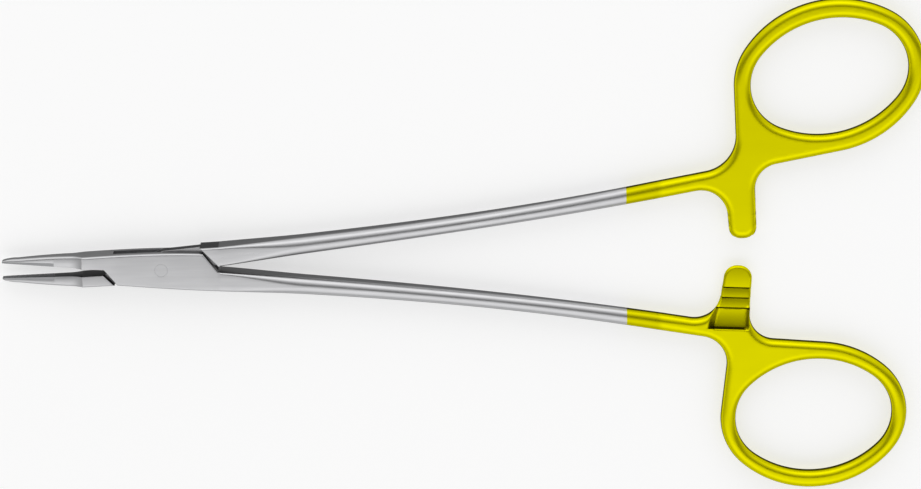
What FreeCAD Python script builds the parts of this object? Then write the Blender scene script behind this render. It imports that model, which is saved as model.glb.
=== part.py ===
import FreeCAD, Part
import math
import os

# Needle holder with a box lock. Millimetres and degrees.
# The origin is on the pin's axis, at the flat back face of the lock. X runs along the
# instrument towards the finger rings, Z is up, and the instrument lies on its back.
# Each half is drawn in its closed place and then turned about the pin by half the opening.
# The female half is the upper jaw, the box of the lock, the lower shank and the lower ring.
# The male half is the lower jaw, the tongue in the box, the upper shank and the upper ring.
# The handle of the female half is drawn with its ring on the +Y side and then mirrored.

Vec = FreeCAD.Vector

# How far the halves stand open
REST_OPENING = 5.4

# Box lock: the cheeks lie over the tongue, and the shoulders meet when the jaws close
LOCK_THICKNESS = 5.2
CHEEK_THICKNESS = 1.5
TONGUE_PLAY = 0.05
SHOULDER_PLAY = 0.12
PARTING_PLAY = 0.05
LOCK_FRONT = -15.4
LOCK_REAR = 11.4
LOCK_UPPER_WIDTH = 3.55
LOCK_LOWER_WIDTH = 3.35
LOCK_EDGE_RADIUS = 0.8
LOCK_BOW = 0.55
FRONT_SHOULDER_TOP = -11.2
FRONT_SHOULDER_FOOT = -8.4
REAR_SHOULDER_TOP = 7.95
REAR_SHOULDER_FOOT = 11.0
SLOT_FRONT = -8.9
SLOT_REAR = 9.2
TONGUE_REACH = 9.3
TONGUE_CROSSING = 0.6
PIN_RADIUS = 1.25
PIN_PLAY = 0.03

# Jaws and their carbide inserts
JAW_REACH = 31.0
FEMALE_JAW_DEPTH = 2.35
MALE_JAW_DEPTH = 2.12
JAW_MIDDLE_SHARE = 0.67
JAW_TAPER_POWER = 1.4
JAW_NOSE_DEPTH = 0.94
JAW_NOSE_LENGTH = 1.5
JAW_TIP_DEPTH = 0.38
JAW_ROOT_THICKNESS = 3.5
JAW_TIP_THICKNESS = 1.7
JAW_EDGE_RADIUS = 0.4
JAW_STEP_LENGTH = 2.6
JAW_STEP_HOLLOW = 0.35
JAW_STEP_TAPER = 0.8
PARTING_DROP = 0.33
TIP_PLAY = 0.02
INSERT_LENGTH = 10.1
INSERT_DEPTH = 0.75
INSERT_TIP_DEPTH = 0.24
GROOVE_PITCH = 0.7
GROOVE_DEPTH = 0.12
GROOVE_SPREAD = 1.1
GROOVE_ANGLE = 45.0

# Shanks
HANDLE_START = 96.0
SHANK_ROOT_WIDTH = 3.85
SHANK_WAIST_WIDTH = 3.0
SHANK_WAIST_PLACE = 0.6
SHANK_END_WIDTH = 3.4
SHANK_SECTIONS = 9
MALE_SHANK_END_Y = 9.35
MALE_SHANK_ROOT_SLOPE = 0.058
MALE_SHANK_END_SLOPE = 0.137
FEMALE_SHANK_END_Y = 7.74
FEMALE_SHANK_ROOT_SLOPE = 0.028
FEMALE_SHANK_END_SLOPE = 0.122

# Handles
HANDLE_THICKNESS = 3.0
HANDLE_EDGE_CHAMFER = 0.8
MALE_NECK_RADIUS = 7.0
FEMALE_NECK_RADIUS = 5.5
MALE_NECK_LEAN = -0.5
FEMALE_NECK_LEAN = 4.0
MALE_WEB_SLOPE = 8.2
FEMALE_WEB_SLOPE = 2.0
CROTCH_RADIUS = 4.2
WEB_RADIUS = 3.8

# Finger rings: the middle and tilt of each oval, the oval's own sizes and its wire
MALE_RING_X = 131.5
MALE_RING_Y = 30.3
FEMALE_RING_X = 127.5
FEMALE_RING_Y = 25.95
RING_HALF_LENGTH = 15.7
RING_HALF_HEIGHT = 11.6
RING_WIRE = 2.55
RING_WIRE_EXTRA = 0.7
RING_END_RADIUS = 9.5
MALE_RING_TILT = 11.9
FEMALE_RING_TILT = -7.0

# Ratchet arms
MALE_ARM_X = 113.3
FEMALE_ARM_X = 112.0
ARM_WIDTH = 4.85
MALE_ARM_LEAN = 2.5
FEMALE_ARM_LEAN = 6.0
ARM_REAR_LEAN_SHARE = 1 / 3
MALE_ARM_TIP = 1.15
FEMALE_ARM_TIP = 3.7
ARM_TIP_RADIUS = 1.9
TOOTH_COUNT = 3
TOOTH_PITCH = 2.05
TOOTH_DEPTH = 0.5
MALE_FIRST_TOOTH = -0.6
FEMALE_FIRST_TOOTH = 0.6
TOOTH_FOOT = 8.8
RATCHET_PLAY = 0.06

MID = LOCK_THICKNESS / 2
TOO_FAR = 60.0


# Plain geometry

def prism(points, bottom, top):
    """A straight prism over a plan polygon."""
    wire = Part.makePolygon([Vec(x, y, bottom) for x, y in points + points[:1]])
    return Part.Face(wire).extrude(Vec(0, 0, top - bottom))


def crossing(a, direction_a, b, direction_b):
    """The point where two plan lines cross."""
    turn = direction_a[0] * direction_b[1] - direction_a[1] * direction_b[0]
    along = ((b[0] - a[0]) * direction_b[1] - (b[1] - a[1]) * direction_b[0]) / turn
    return a[0] + along * direction_a[0], a[1] + along * direction_a[1]


def rounded_path(start, corners, end):
    """Straight runs from start to end, with a tangent arc of its own radius at each corner."""
    edges = []
    here = Vec(start[0], start[1], 0)
    stops = corners + [(end, 0)]
    for (corner, radius), (following, _) in zip(stops, stops[1:]):
        point = Vec(corner[0], corner[1], 0)
        back = (here - point).normalize()
        ahead = (Vec(following[0], following[1], 0) - point).normalize()
        half = back.getAngle(ahead) / 2
        length = radius / math.tan(half)
        middle = (back + ahead).normalize()
        first = point + back * length
        last = point + ahead * length
        bulge = point + middle * (radius / math.sin(half) - radius)
        edges.append(Part.LineSegment(here, first).toShape())
        edges.append(Part.Arc(first, bulge, last).toShape())
        here = last
    edges.append(Part.LineSegment(here, Vec(end[0], end[1], 0)).toShape())
    return edges


def section(x, y, slope, width, thickness, corner, bevelled):
    """A section across a bar, with its four corners rounded or bevelled."""
    across = Vec(-slope, 1, 0).normalize()
    up = Vec(0, 0, 1)
    middle = Vec(x, y, MID)
    corners = [(1, 1), (-1, 1), (-1, -1), (1, -1)]
    points = [middle + across * (a * width / 2) + up * (b * thickness / 2) for a, b in corners]
    edges = []
    last = None
    first = None
    for index, point in enumerate(points):
        before = (points[index - 1] - point).normalize()
        after = (points[(index + 1) % 4] - point).normalize()
        begin = point + before * corner
        finish = point + after * corner
        bulge = point + (before + after) * (corner * (1 - math.sqrt(0.5)))
        if last is not None:
            edges.append(Part.LineSegment(last, begin).toShape())
        else:
            first = begin
        if bevelled:
            edges.append(Part.LineSegment(begin, finish).toShape())
        else:
            edges.append(Part.Arc(begin, bulge, finish).toShape())
        last = finish
    edges.append(Part.LineSegment(last, first).toShape())
    return Part.Wire(edges)


def edges_at(shape, test):
    """The edges whose middle point passes the test."""
    found = []
    for edge in shape.Edges:
        middle = edge.valueAt((edge.FirstParameter + edge.LastParameter) / 2)
        if test(edge, middle):
            found.append(edge)
    return found


def one_solid(shape):
    """The single clean solid of a finished union."""
    solid = shape.removeSplitter()
    assert len(solid.Solids) == 1, "a half must be one solid"
    return solid.Solids[0]


# Lines that both halves share

def parting(x):
    """Height of the line between the jaws: zero at the tips, a little lower at the lock."""
    return -PARTING_DROP * min(1.0, (JAW_REACH + x) / (JAW_REACH + LOCK_FRONT))


def on_line(a, b, y):
    """The point at height y of the line through two points."""
    return a[0] + (b[0] - a[0]) * (y - a[1]) / (b[1] - a[1]), y


def shoulder_lines(play):
    """The front and the rear shoulder, each as two points, moved out of the lock by the play."""
    front_y = parting(LOCK_FRONT)
    front = [(FRONT_SHOULDER_TOP - play, front_y), (FRONT_SHOULDER_FOOT - play, -LOCK_LOWER_WIDTH)]
    rear = [(REAR_SHOULDER_FOOT + play, 0.0), (REAR_SHOULDER_TOP + play, LOCK_UPPER_WIDTH)]
    return front, rear


def shank_centre(share, end_y, root_slope, end_slope):
    """The shank's centre line: a cubic with a given place and slope at both ends."""
    span = HANDLE_START - LOCK_REAR
    root_y = PARTING_PLAY + SHANK_ROOT_WIDTH / 2
    rise = 3 * share ** 2 - 2 * share ** 3
    leave = share - 2 * share ** 2 + share ** 3
    arrive = share ** 3 - share ** 2
    y = root_y + (end_y - root_y) * rise + span * (root_slope * leave + end_slope * arrive)
    rise_slope = (6 * share - 6 * share ** 2) / span
    leave_slope = 1 - 4 * share + 3 * share ** 2
    arrive_slope = 3 * share ** 2 - 2 * share
    slope = (end_y - root_y) * rise_slope + root_slope * leave_slope + end_slope * arrive_slope
    return LOCK_REAR + span * share, y, slope


def shank_width(share):
    """Width of the shank: the parabola through its root, waist and end widths."""
    waist = SHANK_WAIST_PLACE
    root_part = (share - waist) * (share - 1) / waist
    waist_part = share * (1 - share) / (waist * (1 - waist))
    end_part = share * (share - waist) / (1 - waist)
    return SHANK_ROOT_WIDTH * root_part + SHANK_WAIST_WIDTH * waist_part + SHANK_END_WIDTH * end_part


def shank(end_y, root_slope, end_slope):
    """One shank, from the lock to the handle."""
    sections = []
    for index in range(SHANK_SECTIONS):
        share = index / (SHANK_SECTIONS - 1)
        x, y, slope = shank_centre(share, end_y, root_slope, end_slope)
        thickness = LOCK_THICKNESS + (HANDLE_THICKNESS - LOCK_THICKNESS) * share
        corner = LOCK_EDGE_RADIUS + (HANDLE_EDGE_CHAMFER - LOCK_EDGE_RADIUS) * share
        turned = slope if index else 0
        bevelled = index == SHANK_SECTIONS - 1
        sections.append(section(x, y, turned, shank_width(share), thickness, corner, bevelled))
    return Part.makeLoft(sections, True, True)


# Finger rings and ratchet arms

def arc(middle, radius, first, last):
    """An arc about a middle, from one angle to another."""
    points = []
    for angle in (first, (first + last) / 2, last):
        turn = math.radians(angle)
        points.append(Vec(middle.x + radius * math.cos(turn), middle.y + radius * math.sin(turn), 0))
    return Part.Arc(*points).toShape()


def oval(x, y, tilt, growth_x, growth_y):
    """The four arcs of a finger ring's oval: their middles, radii and the angle they share."""
    half_length = RING_HALF_LENGTH + growth_x
    half_height = RING_HALF_HEIGHT + growth_y
    end_radius = RING_END_RADIUS + (growth_x + growth_y) / 2
    shift = half_length - end_radius
    side_radius = (shift ** 2 + half_height ** 2 - end_radius ** 2) / (2 * (half_height - end_radius))
    lift = side_radius - half_height
    share = math.degrees(math.atan2(lift, shift))
    turn = math.radians(tilt)
    along = Vec(math.cos(turn), math.sin(turn), 0)
    across = Vec(-math.sin(turn), math.cos(turn), 0)
    middle = Vec(x, y, 0)
    ends = [middle + along * shift, middle - along * shift]
    sides = [middle - across * lift, middle + across * lift]
    return ends, sides, end_radius, side_radius, share


def outer_oval(ring):
    """The oval of a ring's outer edge: the wire is thicker across than along."""
    return oval(*ring, RING_WIRE, RING_WIRE + RING_WIRE_EXTRA)


def ring_hole(ring):
    """The finger opening of a ring."""
    ends, sides, end_radius, side_radius, share = oval(*ring, 0, 0)
    tilt = ring[2]
    edges = [arc(ends[0], end_radius, tilt - share, tilt + share),
             arc(sides[0], side_radius, tilt + share, tilt + 180 - share),
             arc(ends[1], end_radius, tilt + 180 - share, tilt + 180 + share),
             arc(sides[1], side_radius, tilt + 180 + share, tilt + 360 - share)]
    face = Part.Face(Part.Wire(edges))
    face.translate(Vec(0, 0, MID - HANDLE_THICKNESS))
    return face.extrude(Vec(0, 0, 2 * HANDLE_THICKNESS))


def handle_outline(ring, neck_lean, web_slope, shank_end, neck_radius, arm_x, arm_lean, arm_tip):
    """The outer outline of a handle: ring, neck, shank end, ratchet arm and web."""
    tilt = ring[2]
    ends, sides, end_radius, side_radius, share = outer_oval(ring)
    end_y, end_slope = shank_end
    run = Vec(1, end_slope, 0).normalize()
    across = Vec(-end_slope, 1, 0).normalize() * (SHANK_END_WIDTH / 2)
    middle = Vec(HANDLE_START, end_y, 0)
    top = middle + across
    bottom = middle - across
    ring_edges = [arc(sides[1], side_radius, web_slope - 90, tilt - share),
                  arc(ends[0], end_radius, tilt - share, tilt + share),
                  arc(sides[0], side_radius, tilt + share, tilt + 180 - share),
                  arc(ends[1], end_radius, tilt + 180 - share, 180 + neck_lean)]
    web_end = ring_edges[0].valueAt(ring_edges[0].FirstParameter)
    neck_start = ring_edges[3].valueAt(ring_edges[3].LastParameter)
    slope, neck_turn = math.radians(web_slope), math.radians(neck_lean - 90)
    web_run = (math.cos(slope), math.sin(slope))
    neck_run = (math.cos(neck_turn), math.sin(neck_turn))
    lean = math.tan(math.radians(arm_lean))
    rear_lean = lean * ARM_REAR_LEAN_SHARE
    left_foot = (arm_x - ARM_WIDTH / 2, 0)
    right_foot = (arm_x + ARM_WIDTH / 2, 0)
    neck = crossing(neck_start, neck_run, top, run)
    crotch = crossing(bottom, run, left_foot, (-lean, 1))
    web = crossing(web_end, web_run, right_foot, (rear_lean, 1))
    tip_left = (left_foot[0] + lean * arm_tip, -arm_tip)
    tip_right = (right_foot[0] - rear_lean * arm_tip, -arm_tip)
    corners = [(crotch, CROTCH_RADIUS), (tip_left, ARM_TIP_RADIUS),
               (tip_right, ARM_TIP_RADIUS), (web, WEB_RADIUS)]
    edges = ring_edges + rounded_path(neck_start, [(neck, neck_radius)], top)
    edges.append(Part.LineSegment(top, bottom).toShape())
    edges += rounded_path(bottom, corners, web_end)
    return Part.Wire(edges)


def ratchet_cut(arm_x, first_tooth, up):
    """What is taken off one side of a ratchet arm, as a row of slanting teeth."""
    crest = MID + up * RATCHET_PLAY
    root = crest + up * TOOTH_DEPTH
    far = MID - up * HANDLE_THICKNESS
    last = first_tooth + TOOTH_PITCH * (TOOTH_COUNT - 1)
    profile = [(-TOO_FAR, far), (-TOO_FAR, crest), (first_tooth, crest)]
    for index in range(TOOTH_COUNT):
        edge = first_tooth + TOOTH_PITCH * index
        profile.append((edge, root))
        if edge < last:
            profile.append((edge + TOOTH_PITCH, crest))
    profile += [(TOOTH_FOOT - TOOTH_DEPTH, root), (TOOTH_FOOT, far)]
    wire = Part.makePolygon([Vec(arm_x - 2 * ARM_WIDTH, y, z) for y, z in profile + profile[:1]])
    return Part.Face(wire).extrude(Vec(4 * ARM_WIDTH, 0, 0))


def handle(ring, neck_lean, web_slope, shank_end, neck_radius, arm_x, arm_lean, arm_tip,
           first_tooth, up):
    """One handle with bevelled edges, its finger opening and the teeth of its ratchet arm."""
    outline = handle_outline(ring, neck_lean, web_slope, shank_end, neck_radius,
                             arm_x, arm_lean, arm_tip)
    face = Part.Face(outline)
    face.translate(Vec(0, 0, MID - HANDLE_THICKNESS / 2))
    body = face.extrude(Vec(0, 0, HANDLE_THICKNESS))
    run = Vec(1, shank_end[1], 0).normalize()
    start = Vec(HANDLE_START, shank_end[0], MID)
    centre = Vec(ring[0], ring[1], MID)

    def flat(middle):
        return abs(abs(middle.z - MID) - HANDLE_THICKNESS / 2) < 1e-3

    def on_rim(edge, middle):
        return flat(middle) and (middle - start).dot(run) > 1e-3

    def on_hole(edge, middle):
        reach = (middle - centre).Length
        return flat(middle) and reach < RING_HALF_LENGTH + RING_WIRE / 3 and edge.Length > RING_WIRE

    body = body.makeChamfer(HANDLE_EDGE_CHAMFER, edges_at(body, on_rim))
    hole = ring_hole(ring)
    body = body.cut(hole)
    rim = [edge for edge in edges_at(body, on_hole) if hole.distToShape(edge)[0] < 1e-4]
    body = body.makeChamfer(HANDLE_EDGE_CHAMFER, rim)
    return body.cut(ratchet_cut(arm_x, first_tooth, up))


# Jaws, drawn on the +Y side of the parting line

def grip_height(x, drop):
    """Height of a jaw's grip face: the tips meet first, and the rest is relieved a little."""
    share = min(1.0, (JAW_REACH + x) / (JAW_REACH + LOCK_FRONT))
    return drop * share + TIP_PLAY + (PARTING_PLAY - TIP_PLAY) * share


def jaw_section(x, drop, depth, thickness):
    """A section of a jaw: square at the grip face, rounded on its outer side."""
    grip = grip_height(x, drop)
    outer = grip + depth
    half = thickness / 2
    radius = min(JAW_EDGE_RADIUS, depth / 3)
    slack = radius * (1 - math.sqrt(0.5))
    top, bottom = MID + half, MID - half
    edges = [Part.LineSegment(Vec(x, grip, bottom), Vec(x, grip, top)),
             Part.LineSegment(Vec(x, grip, top), Vec(x, outer - radius, top)),
             Part.Arc(Vec(x, outer - radius, top), Vec(x, outer - slack, top - slack),
                      Vec(x, outer, top - radius)),
             Part.LineSegment(Vec(x, outer, top - radius), Vec(x, outer, bottom + radius)),
             Part.Arc(Vec(x, outer, bottom + radius), Vec(x, outer - slack, bottom + slack),
                      Vec(x, outer - radius, bottom)),
             Part.LineSegment(Vec(x, outer - radius, bottom), Vec(x, grip, bottom))]
    return Part.Wire([edge.toShape() for edge in edges])


def jaw(drop, root_depth):
    """A tapering jaw from the lock to its tip."""
    nose = -JAW_REACH + JAW_NOSE_LENGTH
    middle = LOCK_FRONT + (nose - LOCK_FRONT) * JAW_MIDDLE_SHARE
    middle_depth = root_depth + (JAW_NOSE_DEPTH - root_depth) * JAW_MIDDLE_SHARE ** JAW_TAPER_POWER
    stations = [(LOCK_FRONT + PARTING_PLAY, root_depth), (middle, middle_depth),
                (nose, JAW_NOSE_DEPTH), (-JAW_REACH, JAW_TIP_DEPTH)]
    wires = []
    for x, depth in stations:
        share = (LOCK_FRONT + PARTING_PLAY - x) / (JAW_REACH + LOCK_FRONT + PARTING_PLAY)
        thickness = JAW_ROOT_THICKNESS + (JAW_TIP_THICKNESS - JAW_ROOT_THICKNESS) * share
        wires.append(jaw_section(x, drop, depth, thickness))
    return Part.makeLoft(wires, True, True)


def jaw_step(drop, root_depth):
    """The hollow step that brings the jaw up to the thickness of the lock."""
    front = LOCK_FRONT - JAW_STEP_LENGTH
    rear = LOCK_FRONT + PARTING_PLAY
    slope = (JAW_ROOT_THICKNESS - JAW_TIP_THICKNESS) / (JAW_REACH + LOCK_FRONT)
    low = (JAW_ROOT_THICKNESS - slope * JAW_STEP_LENGTH) / 2
    high = LOCK_THICKNESS / 2
    bend = (front + LOCK_FRONT) / 2 + JAW_STEP_HOLLOW
    level = (low + high) / 2 - JAW_STEP_HOLLOW
    left = -TOO_FAR

    def at(x, z):
        return Vec(x, left, MID + z)

    edges = [Part.Arc(at(front, low), at(bend, level), at(LOCK_FRONT, high)),
             Part.LineSegment(at(LOCK_FRONT, high), at(rear, high)),
             Part.LineSegment(at(rear, high), at(rear, -high)),
             Part.LineSegment(at(rear, -high), at(LOCK_FRONT, -high)),
             Part.Arc(at(LOCK_FRONT, -high), at(bend, -level), at(front, -low)),
             Part.LineSegment(at(front, -low), at(front, low))]
    side = Part.Face(Part.Wire([edge.toShape() for edge in edges])).extrude(Vec(0, 2 * TOO_FAR, 0))
    depth_drop = (root_depth - JAW_NOSE_DEPTH) / (JAW_REACH + LOCK_FRONT) * JAW_STEP_TAPER
    plan = [(front, grip_height(front, drop)), (rear, grip_height(rear, drop)),
            (rear, grip_height(rear, drop) + root_depth),
            (front, grip_height(front, drop) + root_depth - depth_drop * JAW_STEP_LENGTH)]
    return prism(plan, 0, LOCK_THICKNESS).common(side)


def jaw_blank(drop, root_depth):
    """A jaw with its step, before the space of the insert is taken out."""
    return jaw(drop, root_depth).fuse(jaw_step(drop, root_depth))


def insert_space(drop):
    """The space of a jaw's insert: a wedge along the grip face that thins towards the tip."""
    rear = -JAW_REACH + INSERT_LENGTH
    slope = (INSERT_DEPTH - INSERT_TIP_DEPTH) / INSERT_LENGTH
    front = -JAW_REACH - 1
    plan = [(front, -LOCK_UPPER_WIDTH), (rear, -LOCK_UPPER_WIDTH),
            (rear, grip_height(rear, drop) + INSERT_DEPTH),
            (front, grip_height(front, drop) + INSERT_TIP_DEPTH - slope)]
    return prism(plan, 0, LOCK_THICKNESS)


def insert_grooves(drop):
    """Two crossed rows of small V grooves over the grip face of an insert."""
    half = GROOVE_DEPTH * GROOVE_SPREAD
    reach = JAW_ROOT_THICKNESS
    outline = [(-2 * half, -GROOVE_DEPTH), (2 * half, -GROOVE_DEPTH), (0, GROOVE_DEPTH)]
    cutter = prism(outline, -reach, reach)
    slope = (grip_height(LOCK_FRONT, drop) - TIP_PLAY) / (JAW_REACH + LOCK_FRONT)
    count = int((INSERT_LENGTH + JAW_ROOT_THICKNESS) / GROOVE_PITCH)
    cutters = []
    for lean in (GROOVE_ANGLE, -GROOVE_ANGLE):
        for index in range(count):
            along = (index + 0.5) * GROOVE_PITCH - JAW_ROOT_THICKNESS / 2
            groove = cutter.copy()
            groove.rotate(Vec(0, 0, 0), Vec(0, 1, 0), lean)
            groove.translate(Vec(-JAW_REACH + along, grip_height(-JAW_REACH, drop), MID))
            cutters.append(groove)
    grooves = Part.makeCompound(cutters)
    place = Vec(-JAW_REACH, grip_height(-JAW_REACH, drop), MID)
    grooves.rotate(place, Vec(0, 0, 1), math.degrees(math.atan(slope)))
    return grooves


# The lock

def long_edge(start, end, first_rise):
    """A gently bowed long edge of the lock, which runs level at its rear end."""
    third = (end - start).x / 3
    curve = Part.BezierCurve()
    curve.setPoles([start, start + Vec(third, first_rise, 0), end - Vec(third, 0, 0), end])
    return curve.toShape()


def lock_plate():
    """The box of the lock before its slot is cut: both cheeks and what joins them."""
    grip = grip_height(LOCK_FRONT, -PARTING_DROP)
    jaw_top = grip + FEMALE_JAW_DEPTH
    jaw_end = Vec(LOCK_FRONT, jaw_top, 0)
    corner = Vec(REAR_SHOULDER_TOP, LOCK_UPPER_WIDTH, 0)
    foot = Vec(FRONT_SHOULDER_FOOT, -LOCK_LOWER_WIDTH, 0)
    root = Vec(LOCK_REAR, -PARTING_PLAY - SHANK_ROOT_WIDTH, 0)
    rear = [corner, Vec(REAR_SHOULDER_FOOT, -PARTING_PLAY, 0), Vec(LOCK_REAR, -PARTING_PLAY, 0), root]
    front = [foot, Vec(FRONT_SHOULDER_TOP, grip, 0), Vec(LOCK_FRONT, grip, 0), jaw_end]
    edges = [long_edge(jaw_end, corner, (corner.y - jaw_end.y) * LOCK_BOW)]
    edges += [Part.LineSegment(a, b).toShape() for a, b in zip(rear, rear[1:])]
    edges += [long_edge(foot, root, (root.y - foot.y) * LOCK_BOW)]
    edges += [Part.LineSegment(a, b).toShape() for a, b in zip(front, front[1:])]
    block = Part.Face(Part.Wire(edges)).extrude(Vec(0, 0, LOCK_THICKNESS))

    def on_long_edge(edge, middle):
        flat = min(abs(middle.z), abs(middle.z - LOCK_THICKNESS)) < 1e-3
        beyond = middle.y > jaw_top or middle.y < -LOCK_LOWER_WIDTH
        return flat and beyond and edge.Length > LOCK_REAR

    return block.makeFillet(LOCK_EDGE_RADIUS, edges_at(block, on_long_edge))


def lock_slot():
    """The slot through the box, between its slanted front and rear walls."""
    grip = grip_height(LOCK_FRONT, -PARTING_DROP)
    front = ((SLOT_FRONT, LOCK_UPPER_WIDTH), (FRONT_SHOULDER_TOP, grip))
    rear = ((REAR_SHOULDER_FOOT, -PARTING_PLAY), (SLOT_REAR, -SHANK_ROOT_WIDTH))
    high = 2 * LOCK_UPPER_WIDTH
    plan = [on_line(*front, high), on_line(*front, -high), on_line(*rear, -high), on_line(*rear, high)]
    return prism(plan, CHEEK_THICKNESS, LOCK_THICKNESS - CHEEK_THICKNESS)


def tongue():
    """The tongue that passes through the slot, narrow enough to swing between its end walls."""
    front, rear = shoulder_lines(SHOULDER_PLAY)
    grip = parting(LOCK_FRONT) - PARTING_PLAY
    jaw_bottom = grip - MALE_JAW_DEPTH
    inside = PARTING_PLAY
    plan = [(-TONGUE_REACH, grip), (TONGUE_CROSSING, LOCK_UPPER_WIDTH - inside),
            (REAR_SHOULDER_TOP, inside + SHANK_ROOT_WIDTH), (LOCK_REAR, inside + SHANK_ROOT_WIDTH),
            (LOCK_REAR, inside), (TONGUE_REACH, inside),
            (-TONGUE_CROSSING, inside - LOCK_LOWER_WIDTH), (FRONT_SHOULDER_FOOT, jaw_bottom - inside),
            (LOCK_FRONT, jaw_bottom), (LOCK_FRONT, grip)]
    low = CHEEK_THICKNESS + TONGUE_PLAY
    body = prism(plan, low, LOCK_THICKNESS - low)
    bore = Part.makeCylinder(PIN_RADIUS + PIN_PLAY, LOCK_THICKNESS)
    return body.cut(bore)


def rounded_block(plan, long_edges):
    """A block of the lock's thickness, with the long edges that the test finds rounded."""
    block = prism(plan, 0, LOCK_THICKNESS)

    def chosen(edge, middle):
        flat = min(abs(middle.z), abs(middle.z - LOCK_THICKNESS)) < 1e-3
        return flat and long_edges(middle)

    return block.makeFillet(LOCK_EDGE_RADIUS, edges_at(block, chosen))


def male_jaw_root():
    """The full thickness behind the lower jaw, up to the front shoulder."""
    front, _ = shoulder_lines(SHOULDER_PLAY)
    grip = parting(LOCK_FRONT) - PARTING_PLAY
    foot = grip - MALE_JAW_DEPTH - PARTING_PLAY
    plan = [(LOCK_FRONT, grip), on_line(*front, grip), on_line(*front, foot),
            (LOCK_FRONT, grip - MALE_JAW_DEPTH)]
    return rounded_block(plan, lambda middle: middle.y < foot + 2 * PARTING_PLAY)


def male_shank_root():
    """The full thickness before the upper shank, from the rear shoulder."""
    _, rear = shoulder_lines(SHOULDER_PLAY)
    top = PARTING_PLAY + SHANK_ROOT_WIDTH
    plan = [on_line(*rear, top), on_line(*rear, PARTING_PLAY), (LOCK_REAR, PARTING_PLAY),
            (LOCK_REAR, top)]
    return rounded_block(plan, lambda middle: middle.y > top - PARTING_PLAY)


# Whole pieces, in their closed places

def mirrored(shape):
    """The shape on the other side of the long axis."""
    return shape.mirror(Vec(0, 0, 0), Vec(0, 1, 0))


def female_half():
    """Upper jaw, box, lower shank, lower arm and lower ring, in one piece."""
    drop = -PARTING_DROP
    lock = lock_plate().cut(lock_slot())
    lock = lock.cut(Part.makeCylinder(PIN_RADIUS, LOCK_THICKNESS))
    steel = jaw_blank(drop, FEMALE_JAW_DEPTH).cut(insert_space(drop))
    bar = shank(FEMALE_SHANK_END_Y, FEMALE_SHANK_ROOT_SLOPE, FEMALE_SHANK_END_SLOPE)
    ring = (FEMALE_RING_X, FEMALE_RING_Y, FEMALE_RING_TILT)
    grip = handle(ring, FEMALE_NECK_LEAN, FEMALE_WEB_SLOPE,
                  (FEMALE_SHANK_END_Y, FEMALE_SHANK_END_SLOPE), FEMALE_NECK_RADIUS,
                  FEMALE_ARM_X, FEMALE_ARM_LEAN, FEMALE_ARM_TIP, FEMALE_FIRST_TOOTH, -1)
    parts = [steel, mirrored(bar), mirrored(grip)]
    return one_solid(lock.fuse(parts))


def male_half():
    """Lower jaw, tongue, upper shank, upper arm and upper ring, in one piece."""
    drop = PARTING_DROP
    steel = jaw_blank(drop, MALE_JAW_DEPTH).cut(insert_space(drop))
    bar = shank(MALE_SHANK_END_Y, MALE_SHANK_ROOT_SLOPE, MALE_SHANK_END_SLOPE)
    ring = (MALE_RING_X, MALE_RING_Y, MALE_RING_TILT)
    grip = handle(ring, MALE_NECK_LEAN, MALE_WEB_SLOPE,
                  (MALE_SHANK_END_Y, MALE_SHANK_END_SLOPE), MALE_NECK_RADIUS,
                  MALE_ARM_X, MALE_ARM_LEAN, MALE_ARM_TIP, MALE_FIRST_TOOTH, 1)
    parts = [mirrored(steel), male_jaw_root(), male_shank_root(), bar, grip]
    return one_solid(tongue().fuse(parts))


def insert(drop, root_depth):
    """A carbide insert with its crossed grooves, drawn for the upper jaw."""
    body = jaw_blank(drop, root_depth).common(insert_space(drop))
    return body.cut(insert_grooves(drop)).Solids[0]


def joint_pin():
    """The pin of the lock, flush with both cheeks."""
    return Part.makeCylinder(PIN_RADIUS, LOCK_THICKNESS)


def opened(shape, angle):
    """The shape turned about the pin."""
    turned = shape.copy()
    turned.rotate(Vec(0, 0, 0), Vec(0, 0, 1), angle)
    return turned


def pieces():
    """Every piece by name, in its place with the halves half open as they lie."""
    half = REST_OPENING / 2
    return {
        "female_half": opened(female_half(), -half),
        "male_half": opened(male_half(), half),
        "joint_pin": opened(joint_pin(), -half),
        "upper_insert": opened(insert(-PARTING_DROP, FEMALE_JAW_DEPTH), -half),
        "lower_insert": opened(mirrored(insert(PARTING_DROP, MALE_JAW_DEPTH)), half),
    }


if __name__ == "__main__":
    os.makedirs("parts", exist_ok=True)
    for name, shape in pieces().items():
        shape.exportStep(f"parts/{name}.step")
        print(name, shape.isValid(), round(shape.Volume, 1), len(shape.Faces))
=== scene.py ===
"""Looks of a needle holder with a box lock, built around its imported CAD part.

Sizes are in millimetres, with each half in its closed place. The halves are turned about the
pin to where they lie at rest, and written into the meshes in metres.
"""
import logging
import math
from dataclasses import dataclass, field
from enum import Enum
from typing import Iterable, Optional, Sequence

import bmesh
import bpy
import numpy as np
from mathutils import Matrix, Vector
from mathutils.geometry import delaunay_2d_cdt


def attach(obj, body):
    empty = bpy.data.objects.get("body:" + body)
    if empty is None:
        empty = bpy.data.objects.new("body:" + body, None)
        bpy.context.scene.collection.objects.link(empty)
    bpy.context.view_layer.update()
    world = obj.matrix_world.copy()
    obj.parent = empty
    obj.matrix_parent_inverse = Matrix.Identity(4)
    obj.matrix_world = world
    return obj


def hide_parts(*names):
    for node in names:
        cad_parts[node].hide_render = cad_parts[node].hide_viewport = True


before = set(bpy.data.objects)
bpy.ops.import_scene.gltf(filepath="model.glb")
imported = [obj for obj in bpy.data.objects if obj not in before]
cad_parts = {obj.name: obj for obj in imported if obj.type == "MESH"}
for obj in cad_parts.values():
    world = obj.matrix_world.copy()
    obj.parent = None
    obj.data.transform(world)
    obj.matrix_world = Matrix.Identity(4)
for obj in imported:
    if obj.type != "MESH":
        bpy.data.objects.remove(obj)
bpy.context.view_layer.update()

logging.basicConfig(level=logging.INFO, format="%(message)s")
log = logging.getLogger("needle_holder")

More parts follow.
